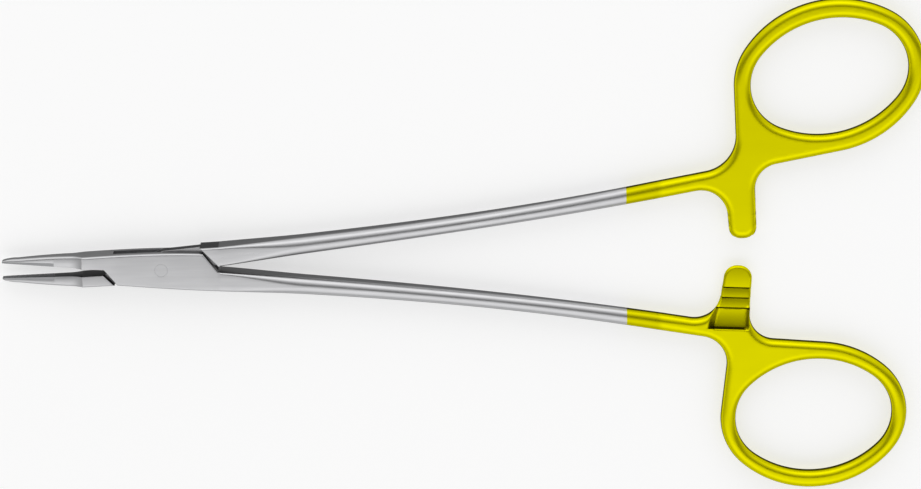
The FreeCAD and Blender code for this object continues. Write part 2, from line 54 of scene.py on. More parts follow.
Array = np.ndarray
Socket = bpy.types.NodeSocket
Colour = tuple[float, float, float, float]

MM = 0.001
# The height of the middle plane, and a size that is beyond all of the steel near the ratchet.
MID = 2.6
FAR = 9.0
LIFT = np.array([0.0, 0.0, MID])
FLIP = np.array([1.0, 1.0, -1.0])
# The share of a normal that is upright, below which a face counts as a flank that the finishes darken
# with painted shade.
FLANK_LEAN = 0.54
FLANK_BLEND = 0.3
# How many points are compared with a whole outline at a time.
BLOCK = 1500


class Side(Enum):
    """The two halves: the body that each rides on, and the sign of its turn as it opens."""

    FEMALE = ("female", -1.0)
    MALE = ("male", 1.0)


class Slot(Enum):
    """The record's material slots."""

    STEEL = "satin_steel"
    CARBIDE = "carbide"


# Small geometry


def smooth_step(values: Array) -> Array:
    """The blend 3 v^2 - 2 v^3 of values held between 0 and 1."""
    held = np.clip(values, 0.0, 1.0)
    return held ** 2 * (3.0 - 2.0 * held)


def way_to(values: Array, start: float, end: float) -> Array:
    """The share of the way from start to end, held between 0 and 1."""
    return np.clip((values - start) / (end - start), 0.0, 1.0)


def unit(vector: Array) -> Array:
    """The plan vector with length one."""
    return vector / np.linalg.norm(vector)


def polar(angle: float | Array) -> Array:
    """Plan vectors of length one at angles in radians."""
    return np.stack([np.cos(angle), np.sin(angle)], axis=-1)


def raised(plan: Array, heights: float | Array) -> Array:
    """Plan points with their heights as a third number."""
    return np.concatenate([plan, np.broadcast_to(heights, plan.shape[:-1])[..., None]], axis=-1)


def on_line(a: Array, b: Array, y: float) -> Array:
    """The point at height y of the line through a and b."""
    return np.array([a[0] + (b[0] - a[0]) * (y - a[1]) / (b[1] - a[1]), y])


def crossing(a: Array, along_a: Array, b: Array, along_b: Array) -> Array:
    """Where two plan lines cross.

    Args:
        a: A point of the first line.
        along_a: Direction of the first line.
        b: A point of the second line.
        along_b: Direction of the second line.

    Returns:
        The point that both lines share.
    """
    turn = along_a[0] * along_b[1] - along_a[1] * along_b[0]
    share = ((b[0] - a[0]) * along_b[1] - (b[1] - a[1]) * along_b[0]) / turn
    return a + share * along_a


def plan_grid(low: Sequence[float], high: Sequence[float], step: float) -> Array:
    """Plan points a step apart, in square rows between two corners."""
    lines = [np.arange(low[i], high[i], step) for i in (0, 1)]
    return np.stack(np.meshgrid(*lines), -1).reshape(-1, 2)


def grid_faces(rows: int, columns: int, wrap: bool) -> Array:
    """Quads between the points of a grid that is stored row by row.

    Args:
        rows: Number of rows.
        columns: Points in each row.
        wrap: True where the last column joins the first.

    Returns:
        One quad to a row, as indices.
    """
    across = np.arange(columns if wrap else columns - 1)
    start = np.arange(rows - 1)[:, None] * columns
    first, following = (start + across).ravel(), (start + (across + 1) % columns).ravel()
    return np.stack([first, following, following + columns, first + columns], axis=1)


def blocks(count: int) -> list[Array]:
    """The numbers below a count, in blocks of about the size BLOCK."""
    return np.array_split(np.arange(count), max(1, count // BLOCK))


def distance_to(points: Array, trail: Array) -> Array:
    """How far points lie from an open trail of straight runs.

    Each distance is that to the nearest run, whose foot is held between the run's ends.

    Args:
        points: Plan points.
        trail: Plan points of the trail, in order.

    Returns:
        One distance for each point.
    """
    starts, runs = trail[:-1], np.diff(trail, axis=0)
    lengths = np.maximum((runs ** 2).sum(1), 1e-12)
    far = np.empty(len(points))
    for block in blocks(len(points)):
        offset = points[block][:, None, :] - starts
        share = np.clip((offset * runs).sum(2) / lengths, 0.0, 1.0)
        gap = offset - share[..., None] * runs
        far[block] = np.sqrt((gap ** 2).sum(2).min(1))
    return far


def inside(points: Array, loop: Array) -> Array:
    """Whether points are inside a closed loop, by counting the sides crossed on the way out.

    Args:
        points: Plan points.
        loop: Corners of the loop in order.

    Returns:
        One truth value for each point.
    """
    following = np.roll(loop, -1, axis=0)
    rise = following[:, 1] - loop[:, 1]
    rise = np.where(np.abs(rise) < 1e-12, 1e-12, rise)
    answer = np.zeros(len(points), bool)
    for block in blocks(len(points)):
        x, y = points[block, 0][:, None], points[block, 1][:, None]
        spans = (loop[:, 1] > y) != (following[:, 1] > y)
        meets = loop[:, 0] + (y - loop[:, 1]) / rise * (following[:, 0] - loop[:, 0])
        answer[block] = (spans & (x < meets)).sum(1) % 2 == 1
    return answer


def fill(outer: Array, hole: Array, extra: Sequence = (), ties: Sequence = ()) -> tuple[Array, Array]:
    """Triangles over the plan between an outer loop and a hole.

    Args:
        outer: The outer loop.
        hole: The hole's loop.
        extra: Points inside that become corners as well.
        ties: Pairs of point numbers that must be joined, counted over all the points.

    Returns:
        The points (outer, hole, extra, in that order) and the triangles between them.
    """
    numbers = (np.arange(len(outer)), len(outer) + np.arange(len(hole)))
    around = [np.stack([n, np.roll(n, -1)], axis=1).tolist() for n in numbers]
    joined = around[0] + around[1] + [[int(a), int(b)] for a, b in ties]
    given = np.concatenate([outer, hole, np.reshape(extra, (-1, 2))])
    made = delaunay_2d_cdt([Vector(p) for p in given], joined, [], 0, 1e-7)
    points, triangles = np.array([tuple(p) for p in made[0]]), np.array(made[2])
    if len(points) < len(given) or np.abs(points[:len(given)] - given).max() > 1e-4:
        raise ValueError("the fill moved one of its corners")
    centres = points[triangles].mean(1)
    return points, triangles[inside(centres, outer) & ~inside(centres, hole)]


# Finishes


def grey(level: float) -> Colour:
    """A neutral colour."""
    return (level, level, level, 1.0)


class Nodes:
    """A short way to write the nodes of a material or of the world."""

    def __init__(self, owner: bpy.types.Material | bpy.types.World) -> None:
        """Gives the owner an empty node tree."""
        owner.use_nodes = True
        self.owner = owner
        self.tree = owner.node_tree
        self.tree.nodes.clear()

    def put(self, target: Socket, value: object) -> None:
        """Links a socket to an input, or sets the input to a plain value."""
        if isinstance(value, Socket):
            self.tree.links.new(value, target)
        else:
            target.default_value = value

    def add(self, kind: str, **values: object) -> bpy.types.Node:
        """Adds a node; a value sets a property, or an input by its name.

        Args:
            kind: Blender's name of the node.
            values: Properties, and sockets or plain values of inputs, with _ for a blank.

        Returns:
            The new node.
        """
        node = self.tree.nodes.new(kind)
        for key, value in values.items():
            if hasattr(node, key):
                setattr(node, key, value)
            else:
                self.put(node.inputs[key.replace("_", " ")], value)
        return node

    def maths(self, how: str, *values: object) -> Socket:
        """A sum on sockets or numbers.

        Args:
            how: Blender's name of the operation.
            values: One to three sockets or numbers.

        Returns:
            The result's socket.
        """
        node = self.add("ShaderNodeMath", operation=how)
        for target, value in zip(node.inputs, values):
            self.put(target, value)
        return node.outputs[0]

    def blend(self, share: object, a: object, b: object, how: str = "MIX") -> Socket:
        """A colour between two sockets or colours.

        Args:
            share: Socket or number from 0 for a to 1 for b.
            a: First colour.
            b: Second colour.
            how: Blender's name for the way they mix.

        Returns:
            The colour's socket.
        """
        node = self.add("ShaderNodeMix", data_type="RGBA", blend_type=how)
        for index, value in ((0, share), (6, a), (7, b)):
            self.put(node.inputs[index], value)
        return node.outputs[2]

    def object_place(self) -> Socket:
        """The socket of the object's own coordinates."""
        return self.add("ShaderNodeTexCoord").outputs["Object"]

    def noise(self, along: float, across: float, detail: float) -> Socket:
        """Noise on object coordinates, stretched along the instrument.

        Args:
            along: Cells per metre along X.
            across: Cells per metre along Y and Z.
            detail: Octaves of finer noise.

        Returns:
            The noise's socket.
        """
        place = self.add("ShaderNodeMapping", Vector=self.object_place(),
                         Scale=(along, across, across)).outputs["Vector"]
        grain = self.add("ShaderNodeTexNoise", Vector=place, Scale=1.0, Detail=detail,
                         Roughness=0.55)
        return grain.outputs["Fac"]

    def paint_shade_on_flanks(self, colour: Socket, level: float) -> Socket:
        """Painted shade: the colour times the level where the attribute "flank" is 1, unchanged where
        it is 0.
        """
        flank = self.add("ShaderNodeAttribute", attribute_name="flank").outputs["Fac"]
        return self.blend(flank, colour, grey(level), "MULTIPLY")


@dataclass(frozen=True)
class Finish:
    """A metal finish with painted shade on its flanks and a darker grazing edge.

    Edges that turn by more than the crease, in degrees, are drawn sharp.
    """

    name: str
    slot: Slot = Slot.STEEL
    crease: float = 32.0
    colour: Colour = (0.60, 0.60, 0.61, 1.0)
    second: Colour = (0.47, 0.47, 0.48, 1.0)
    roughness: float = 0.30
    # Colour factor of the painted shade on the flanks, which darkens the edges and the faces that
    # turn away from the top.
    painted_flank_shade: float = 0.6
    edge_tint: Colour = grey(0.35)
    bump_strength: float = 0.10
    bump_height: float = 0.00002

    def metal(self, n: Nodes, colour: Socket, rough: Socket, relief: Socket) -> bpy.types.Material:
        """Ends the material as metal.

        Args:
            n: The material's nodes.
            colour: Socket of its colour.
            rough: Socket of its roughness.
            relief: Socket of the relief that bumps it.

        Returns:
            The material.
        """
        bump = n.add("ShaderNodeBump", Strength=self.bump_strength, Distance=self.bump_height,
                     Height=relief)
        shader = n.add("ShaderNodeBsdfPrincipled", Metallic=1.0, Specular_Tint=self.edge_tint,
                       Base_Color=colour, Roughness=rough, Normal=bump.outputs["Normal"])
        n.add("ShaderNodeOutputMaterial", Surface=shader.outputs[0])
        return n.owner


@dataclass(frozen=True)
class SatinFinish(Finish):
    """Satin steel, brushed along the instrument, with or without the plated handle."""

    plated: bool = False
    plate: Colour = (0.75, 0.70, 0.0, 1.0)
    plate_deep: Colour = (0.60, 0.555, 0.0, 1.0)
    plate_start: float = 0.0903
    # The first band of the plating stays the deeper yellow, then fades into the plate colour.
    plate_deep_band: float = 0.006
    plate_deep_fade: float = 900.0
    plate_roughness: float = 0.34
    # Colour factor of the painted shade on the plating's flanks.
    plate_painted_flank_shade: float = 0.08

    def make(self) -> bpy.types.Material:
        """Makes the material: streaks in colour, roughness and bump that follow the brushing.

        Returns:
            The material.
        """
        n = Nodes(bpy.data.materials.new(self.name))
        streaks, cloud = n.noise(90.0, 2600.0, 4.0), n.noise(70.0, 160.0, 3.0)
        fine = n.noise(5200.0, 5200.0, 2.0)
        colour = n.blend(n.maths("MULTIPLY", streaks, 0.55), self.colour, self.second)
        colour = n.blend(n.maths("MULTIPLY", cloud, 0.3), colour, self.second)
        # Painted shade: the flanks are darkened in colour.
        colour = n.paint_shade_on_flanks(colour, self.painted_flank_shade)
        rough = n.maths("MULTIPLY_ADD", streaks, 0.12, self.roughness - 0.06)
        rough = n.maths("MULTIPLY_ADD", cloud, 0.06, rough)
        if self.plated:
            x = n.add("ShaderNodeSeparateXYZ", Vector=n.object_place()).outputs["X"]
            on = n.maths("GREATER_THAN", x, self.plate_start)
            past = n.maths("SUBTRACT", x, self.plate_start + self.plate_deep_band)
            past = n.maths("MAXIMUM", n.maths("MULTIPLY", past, self.plate_deep_fade), 0.0)
            plate = n.blend(n.maths("MINIMUM", past, 1.0), self.plate_deep, self.plate)
            plate = n.blend(n.maths("MULTIPLY", cloud, 0.25), plate, self.plate_deep)
            # Painted shade on the flanks of the plating as well.
            colour = n.blend(on, colour, n.paint_shade_on_flanks(plate, self.plate_painted_flank_shade))
            smooth = n.maths("MULTIPLY_ADD", cloud, 0.08, self.plate_roughness - 0.04)
            rough = n.maths("MULTIPLY_ADD", on, n.maths("SUBTRACT", smooth, rough), rough)
        return self.metal(n, colour, rough, n.maths("MULTIPLY_ADD", fine, 0.5, streaks))


@dataclass(frozen=True)
class CarbideFinish(Finish):
    """Ground carbide: darker than the steel, with a fine dull grain."""

    def make(self) -> bpy.types.Material:
        """Makes the material: a fine grain in colour and bump, with cloudy roughness.

        Returns:
            The material.
        """
        n = Nodes(bpy.data.materials.new(self.name))
        grain, cloud = n.noise(9000.0, 9000.0, 3.0), n.noise(600.0, 900.0, 2.0)
        # Painted shade on the carbide's flanks.
        colour = n.paint_shade_on_flanks(n.blend(grain, self.colour, self.second), self.painted_flank_shade)
        rough = n.maths("MULTIPLY_ADD", cloud, 0.15, self.roughness - 0.07)
        return self.metal(n, colour, rough, grain)


STEEL = SatinFinish("satin_steel")
# A deeper painted shade on the flanks, for the male half's lock and jaw, whose inner faces lie
# between the parts.
PAINTED_SHADE_STEEL = SatinFinish("satin_steel_painted_shade", painted_flank_shade=0.2)
PLATED = SatinFinish("satin_steel_plated_handle", crease=45.0, roughness=0.27, painted_flank_shade=0.45,
                     plated=True)
# The carbide's 0.3 is its painted flank shade.
CARBIDE = CarbideFinish("carbide", Slot.CARBIDE, 20.0, (0.31, 0.315, 0.325, 1.0),
                        (0.46, 0.46, 0.47, 1.0), 0.42, 0.3, grey(0.3), 0.15)
PIN_STEEL = SatinFinish("pin_steel", colour=(0.57, 0.57, 0.58, 1.0),
                        second=(0.46, 0.46, 0.47, 1.0), roughness=0.28)


# Meshes


def mark_flanks(mesh: bpy.types.Mesh) -> None:
    """Writes the attribute "flank", which places the painted shade: 1 on upright faces, and 0 where
    they lean well over.

    With n the upright share of a corner's normal, it blends from 0 at n = FLANK_LEAN to 1 at
    n = FLANK_LEAN - FLANK_BLEND.

    Args:
        mesh: The mesh to mark.
    """
    normals = np.empty(len(mesh.loops) * 3, np.float32)
    mesh.corner_normals.foreach_get("vector", normals)
    upright = np.abs(normals.reshape(-1, 3)[:, 2])
    share = smooth_step((FLANK_LEAN - upright) / FLANK_BLEND)
    flank = mesh.attributes.new("flank", "FLOAT", "CORNER")
    flank.data.foreach_set("value", share.astype(np.float32))


class Body:
    """Points and faces that grow into one piece."""

    def __init__(self) -> None:
        """Starts empty."""
        self.points = np.empty((0, 3))
        self.faces: list[list[int]] = []

    def add(self, points: Array, faces: Iterable[Sequence[int]]) -> None:
        """Adds points, and faces between them as their numbers.

        Args:
            points: Points, three numbers each.
            faces: Faces as numbers of these points.
        """
        start = len(self.points)
        self.points = np.concatenate([self.points, points.reshape(-1, 3)])
        self.faces += [(np.asarray(face) + start).tolist() for face in faces]

    def add_both(self, points: Array, faces: Iterable[Sequence[int]]) -> None:
        """Adds points given from the middle plane, as they are and mirrored below it."""
        self.add(points + LIFT, faces)
        self.add(points * FLIP + LIFT, faces)

    def add_tube(self, loops: Array) -> None:
        """Adds closed loops, joined each to the next, and a flat face over both ends."""
        rows, columns = loops.shape[:2]
        ends = [np.arange(columns), np.arange(columns) + (rows - 1) * columns]
        self.add(loops, [*grid_faces(rows, columns, wrap=True), *ends])

    def make(self, name: str, side: Side, mirror: bool, opening: float, finish: Finish,
             material: bpy.types.Material) -> bpy.types.Object:
        """Makes a piece of it: mirrored if asked, and turned about the pin by half the opening.

        Args:
            name: Name of the piece.
            side: The half that carries it.
            mirror: True for what is drawn on the other side of the long axis.
            opening: The angle between the halves at rest, in degrees.
            finish: The finish, for its crease.
            material: The material of that finish.

        Returns:
            The new object.
        """
        carrier, sign = side.value
        points = self.points * np.array([1.0, -1.0 if mirror else 1.0, 1.0])
        cosine, sine = polar(math.radians(sign * opening / 2))
        turn = np.array([[cosine, -sine, 0.0], [sine, cosine, 0.0], [0.0, 0.0, 1.0]])
        mesh = bpy.data.meshes.new(name)
        mesh.from_pydata((points @ turn.T * MM).tolist(), [], self.faces)
        work = bmesh.new()
        work.from_mesh(mesh)
        bmesh.ops.remove_doubles(work, verts=work.verts, dist=2e-6)
        bmesh.ops.dissolve_degenerate(work, edges=work.edges, dist=5e-7)
        bmesh.ops.recalc_face_normals(work, faces=work.faces)
        work.to_mesh(mesh)
        work.free()
        mesh.shade_smooth()
        mesh.set_sharp_from_angle(angle=math.radians(finish.crease))
        mark_flanks(mesh)
        mesh.materials.append(material)
        piece = bpy.data.objects.new(name, mesh)
        bpy.context.scene.collection.objects.link(piece)
        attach(piece, carrier)
        log.info("%s: %d points, %d faces on %s", name, len(mesh.vertices), len(mesh.polygons),
                 carrier)
        return piece


@dataclass
class Trail:
    """An outline of straight runs and tangent arcs, walked with the steel on its left.

    Its points are at most a step apart, and steep runs and arcs have one at each of the levels.
    """

    step: float
    levels: Array = field(default_factory=lambda: np.empty(0))
    rows: list[Array] = field(default_factory=list)

    def add(self, points: Array, normals: Array) -> None:
        """Adds points with their normals towards the steel."""
        self.rows.append(np.concatenate([points, normals], axis=1))

    def run(self, start: Array, end: Array) -> None:
        """A straight run: start plus a share of the way to end.

        Args:
            start: First point.
            end: Last point.
        """
        way = end - start
        length = np.linalg.norm(way)
        shares = np.linspace(0.0, 1.0, max(2, int(length / self.step) + 2))
        if abs(way[1]) > abs(way[0]):
            own = (self.levels - start[1]) / way[1]
            shares = np.union1d(shares, own[(own > 0) & (own < 1)])
        normal = np.array([-way[1], way[0]]) / length
        self.add(start + shares[:, None] * way, np.tile(normal, (len(shares), 1)))

    def turn(self, middle: Array, radius: float, first: float, last: float) -> None:
        """An arc: the middle plus the radius times (cos a, sin a), for a from first to last.

        Args:
            middle: Middle of the arc.
            radius: Its radius.
            first: First angle in radians.
            last: Last angle, above the first where the arc turns left.
        """
        count = max(6, int(abs(last - first) * radius / self.step) + 2)
        reach = (self.levels - middle[1]) / radius
        rising = np.arcsin(reach[np.abs(reach) < 1])
        own = np.concatenate([rising, math.pi - rising])
        own = own + 2 * math.pi * np.round(((first + last) / 2 - own) / (2 * math.pi))
        own = own[(own > min(first, last)) & (own < max(first, last))]
        angles = np.sort(np.concatenate([np.linspace(first, last, count), own]))
        rim = polar(angles if last > first else angles[::-1])
        self.add(middle + radius * rim, -rim if last > first else rim)

    def arcs(self, arcs: Sequence[tuple[Array, float]], angles: Sequence[float]) -> None:
        """Arcs with their middles and radii, that run from each angle to the next."""
        for (middle, radius), first, last in zip(arcs, angles, angles[1:]):
            self.turn(middle, radius, first, last)

    def follow(self, start: Array, corners: Sequence[tuple[Array, float]], end: Array) -> None:
        """Straight runs from start to end, each corner rounded by a tangent arc.

        Args:
            start: First point.
            corners: Each corner with its radius.
            end: Last point.
        """
        stops = [*corners, (end, 0.0)]
        for (corner, radius), (following, _) in zip(stops, stops[1:]):
            back, ahead = unit(start - corner), unit(following - corner)
            half = math.acos(float(back @ ahead)) / 2
            first, last = (corner + way * radius / math.tan(half) for way in (back, ahead))
            middle = corner + unit(back + ahead) * radius / math.sin(half)
            begin, stop = (math.atan2(*(point - middle)[::-1]) for point in (first, last))
            swing = (stop - begin + math.pi) % (2 * math.pi) - math.pi
            self.run(start, first)
            self.turn(middle, radius, begin, begin + swing)
            start = last
        self.run(start, end)

    def walk(self) -> tuple[Array, Array]:
        """The whole outline without repeated points.

        Returns:
            Points, and normals towards the steel.
        """
        rows = np.concatenate(self.rows)
        fresh = np.linalg.norm(np.diff(rows[:, :2], axis=0), axis=1) > 1e-5
        keep = np.concatenate([[True], fresh])
        return rows[keep, :2], rows[keep, 2:]


@dataclass(frozen=True)
class LockSizes:
    """Sizes that both halves of the lock share."""

    thickness: float = 5.2
    cheek: float = 1.5
    tongue_play: float = 0.05
    shoulder_play: float = 0.12
    parting_play: float = 0.05
    front: float = -15.4
    rear: float = 11.4
    upper_width: float = 3.55
    lower_width: float = 3.35
    edge_radius: float = 0.45
    chamfer: float = 0.26
    small_edge: float = 0.08
    bow: float = 0.55
    front_top: float = -11.2
    front_foot: float = -8.4
    rear_top: float = 7.95
    rear_foot: float = 11.0
    slot_front: float = -8.9
    slot_rear: float = 9.2
    tongue_reach: float = 9.3
    tongue_crossing: float = 0.6
    bore: float = 1.27
    root_width: float = 3.85
    jaw_reach: float = 31.0
    parting_drop: float = 0.33
    female_depth: float = 2.35
    male_depth: float = 2.12


# Shanks and handles


@dataclass
class Rim:
    """A rounded rim: its outline, inner loop, height of the face there, and all its points."""

    line: Array
    inner: Array
    top: Array
    grid: Array


@dataclass
class Handle:
    """The shank, web, finger ring and ratchet arm of one half, drawn with the ring on +Y.

    One outline runs from the lock along the shank, round the arm and the ring and back. A
    rounded rim follows it and the finger opening, and the faces between the rims are filled.
    """

    side: Side
    # The ring's middle and its tilt in degrees, half sizes of the finger opening, and the wire
    # beyond it along the ring and across.
    ring: tuple[float, float, float]
    opening_size: tuple[float, float]
    wire: tuple[float, float]
    shank_end_y: float
    root_slope: float
    end_slope: float
    neck_radius: float
    neck_lean: float
    web_slope: float
    # The ratchet arm, and the recess behind its teeth: left, right and how both walls lean.
    arm_x: float
    arm_width: float
    arm_lean: float
    arm_rear_lean: float
    arm_tip: float
    first_tooth: float
    recess: tuple[float, float, float, float]
    tip_radius: float
    lean_start: float
    lock: LockSizes = LockSizes()
    handle_start: float = 96.0
    waist_width: float = 3.0
    waist_place: float = 0.6
    end_width: float = 3.4
    thickness: float = 3.0
    # The rim, and the shares of the shank over which it grows and the shank's root turns level.
    root_rim: float = 0.45
    rim_depth: float = 1.4
    rim_rise: float = 1.35
    rim_steps: int = 10
    rim_change: float = 9.0
    crown_share: float = 0.2
    crown_fill: float = 0.94
    level_share: float = 0.04
    # The web and the ring.
    crotch_radius: float = 5.2
    web_radius: float = 5.0
    end_radius: float = 9.15
    # The ratchet's teeth, and the recess behind them.
    tooth_pitch: float = 2.05
    tooth_depth: float = 0.5
    tooth_count: int = 3
    tooth_foot: float = 8.8
    tooth_bow: float = 1.6
    relief_width: float = 0.4
    relief_depth: float = 0.55
    relief_border: float = 0.12
    relief_fade: float = 0.3
    tip_fall: float = 0.2
    scoop_rise: float = 0.34
    foot_lean: float = 0.1
    foot_edge: float = 0.005
    wall_start: float = 4.2
    wall_fade: float = 0.8
    wall_slope: tuple[float, float] = (1.4, 2.8)
    wall_round: float = 0.3
    edge_ease: float = 0.35
    ratchet_play: float = 0.06
    tooth_border: float = 0.35
    lean_end: float = 6.2
    lean_fade: float = 0.5
    side_lean: float = 0.3
    # The mesh: a fine zone lies round the arm, from its left and right up to a height.
    row_gap: float = 0.01
    mesh_step: float = 0.45
    fine_step: float = 0.2
    fine_zone: tuple[float, float, float] = (-6.0, 4.0, 10.0)
    recess_margin: tuple[float, float] = (1.6, 1.2)
    wall_lines: tuple[float, ...] = (0.0, 0.25, 0.5, 0.75)
    shank_rows: int = 111

    def centre_line(self, share: Array) -> tuple[Array, Array, Array]:
        """The shank's centre line, a cubic with a given place and slope at both ends.

        Args:
            share: Places along the shank, from 0 at the lock to 1 at the handle.

        Returns:
            x, y and slope at each place.
        """
        start, span = self.lock.rear, self.handle_start - self.lock.rear
        root_y = self.lock.parting_play + self.lock.root_width / 2
        gain = self.shank_end_y - root_y
        leave = share - 2 * share ** 2 + share ** 3
        arrive = share ** 3 - share ** 2
        y = root_y + gain * (3 * share ** 2 - 2 * share ** 3)
        y = y + span * (self.root_slope * leave + self.end_slope * arrive)
        slope = gain * (6 * share - 6 * share ** 2) / span
        slope = slope + self.root_slope * (1 - 4 * share + 3 * share ** 2)
        slope = slope + self.end_slope * (3 * share ** 2 - 2 * share)
        return start + span * share, y, slope * smooth_step(share / self.level_share)

    def width(self, share: Array) -> Array:
        """Width of the shank: the parabola through its root, waist and end widths."""
        waist = self.waist_place
        root = (share - waist) * (share - 1) / waist
        middle = share * (1 - share) / (waist * (1 - waist))
        end = share * (share - waist) / (1 - waist)
        return self.lock.root_width * root + self.waist_width * middle + self.end_width * end

    def oval(self, growth_x: float, growth_y: float) -> tuple[list[tuple[Array, float]], Array]:
        """The four arcs of the ring's oval.

        Args:
            growth_x: How much larger than the finger opening it is along its length.
            growth_y: The same across.

        Returns:
            Middle and radius of the arcs below, ahead, above and behind, and the angles where
            they meet.
        """
        length, height = self.opening_size[0] + growth_x, self.opening_size[1] + growth_y
        end = self.end_radius + (growth_x + growth_y) / 2
        shift = length - end
        side = (shift ** 2 + height ** 2 - end ** 2) / (2 * (height - end))
        lift = side - height
        tilt, joint = math.radians(self.ring[2]), math.atan2(lift, shift)
        along, across = shift * polar(tilt), lift * polar(tilt + math.pi / 2)
        middle = np.array(self.ring[:2])
        arcs = [(middle + across, side), (middle + along, end),
                (middle - across, side), (middle - along, end)]
        return arcs, tilt + np.array([-joint, joint, math.pi - joint, math.pi + joint])

    def levels(self) -> Array:
        """Heights of the rows of points that the teeth need, a pair at each sharp edge."""
        roots = self.first_tooth + self.tooth_pitch * np.arange(self.tooth_count)
        edges = roots[:, None] + np.array([0.0, self.relief_width])
        return (edges[..., None] + self.row_gap * np.array([-1, 1])).ravel()

    def outline(self) -> tuple[Array, Array]:
        """The outline from the lock along the shank's inner side, and back by its outer side.

        Returns:
            Points, and normals towards the steel.
        """
        share = np.linspace(0.0, 1.0, self.shank_rows)
        x, y, slope = self.centre_line(share)
        across = np.stack([-slope, np.ones_like(slope)], 1)
        across /= np.linalg.norm(across, axis=1)[:, None]
        middle, half = np.stack([x, y], 1), self.width(share)[:, None] / 2
        low, high = middle - across * half, middle + across * half
        arcs, joints = self.oval(*self.wire)
        web_slope = math.radians(self.web_slope)
        web_angle, neck_end = web_slope - math.pi / 2, math.pi + math.radians(self.neck_lean)
        web_end = arcs[0][0] + arcs[0][1] * polar(web_angle)
        neck_start = arcs[3][0] + arcs[3][1] * polar(neck_end)
        run = np.array([1.0, self.end_slope])
        (left, left_way), (right, right_way) = (
            (np.array([self.arm_x + sign * self.arm_width / 2, 0.0]),
             np.array([sign * math.tan(math.radians(lean)), 1.0]))
            for sign, lean in ((-1, self.arm_lean), (1, self.arm_rear_lean)))
        web = crossing(web_end, polar(web_slope), right, right_way)
        neck = crossing(neck_start, polar(neck_end - 1.5 * math.pi), high[-1], run)
        trail = Trail(self.mesh_step, self.levels())
        trail.add(low, across)
        trail.step = self.fine_step
        trail.follow(low[-1], [(crossing(low[-1], run, left, left_way), self.crotch_radius),
                               (left - self.arm_tip * left_way, self.tip_radius),
                               (right - self.arm_tip * right_way, self.tip_radius),
                               (web, self.web_radius)], web_end)
        trail.step = self.mesh_step
        trail.arcs(arcs, [web_angle, *joints[:3], neck_end])
        trail.follow(neck_start, [(neck, self.neck_radius)], high[-1])
        trail.add(high[::-1], -across[::-1])
        return trail.walk()

    def opening(self) -> tuple[Array, Array]:
        """The finger opening, walked so that the steel is outside.

        Returns:
            Points, and normals towards the steel.
        """
        trail = Trail(self.mesh_step)
        arcs, joints = self.oval(0.0, 0.0)
        trail.arcs(arcs[1:] + arcs[:1], [*joints, joints[0] + 2 * math.pi])
        points, normals = trail.walk()
        return points[:-1], -normals[:-1]

    def along(self, x: Array) -> Array:
        """The share of the way from the lock to the handle."""
        return way_to(x, self.lock.rear, self.handle_start)

    def half_thickness(self, x: Array) -> Array:
        """Half the steel's thickness: it falls evenly from the lock to the handle."""
        return (self.lock.thickness + (self.thickness - self.lock.thickness) * self.along(x)) / 2

    def rim_sizes(self, x: Array) -> tuple[Array, Array]:
        """Depth and rise of the rounded rim, which grow along the first part of the shank.

        Args:
            x: Places along the part.

        Returns:
            The depth in plan and the rise in height.
        """
        share = self.along(x)
        crown = smooth_step(share / self.crown_share)
        depth = self.root_rim + (self.crown_fill * self.width(share) / 2 - self.root_rim) * crown
        rise = self.root_rim + (self.rim_rise - self.root_rim) * crown
        change = smooth_step((x - self.handle_start) / self.rim_change)
        return depth + (self.rim_depth - depth) * change, rise

    @property
    def last_tooth(self) -> float:
        """Height of the last tooth's root along the arm."""
        return self.first_tooth + self.tooth_pitch * (self.tooth_count - 1)

    def tooth_line(self, y: Array, share: Array) -> Array:
        """Height that the ratchet leaves: a bowed tip, slanting teeth, and a scooped floor.

        Each tooth drops from its crest into a narrow relief cut, and climbs again from there by
        a power of the way along it. The floor rises by the square of the way to its foot.

        Args:
            y: Places along the arm, growing from its tip.
            share: How much of the relief cut is made at each place.

        Returns:
            Heights over the middle plane, FAR where nothing is cut.
        """
        first, last, foot = self.first_tooth, self.last_tooth, self.tooth_foot
        crest, root = -self.ratchet_play, -self.ratchet_play - self.tooth_depth
        tooth = np.clip(np.floor((y - first) / self.tooth_pitch), 0, self.tooth_count - 1)
        past = y - first - tooth * self.tooth_pitch
        tip = crest - self.tip_fall * way_to(y, first, -self.arm_tip) ** 2
        slant = root + self.tooth_depth * way_to(past, 0.0, self.tooth_pitch) ** self.tooth_bow
        scoop = root + self.scoop_rise * way_to(y, last, foot - self.foot_lean) ** 2
        line = np.where(y < first, tip, np.where(y < last, slant, scoop))
        relief = share * self.relief_depth * way_to(past, self.relief_width, 0.0)
        line = line - np.where(y > first, relief, 0.0)
        climb = way_to(y, foot - self.foot_lean, foot) * (self.thickness / 2 - line)
        return np.where(y > foot + self.foot_edge, FAR, line + climb)

    def recess_walls(self, y: Array) -> tuple[Array, Array]:
        """Where the recess behind the teeth ends, left and right of the arm."""
        left, right, left_slope, right_slope = self.recess
        return self.arm_x + left - left_slope * y, self.arm_x + right - right_slope * y

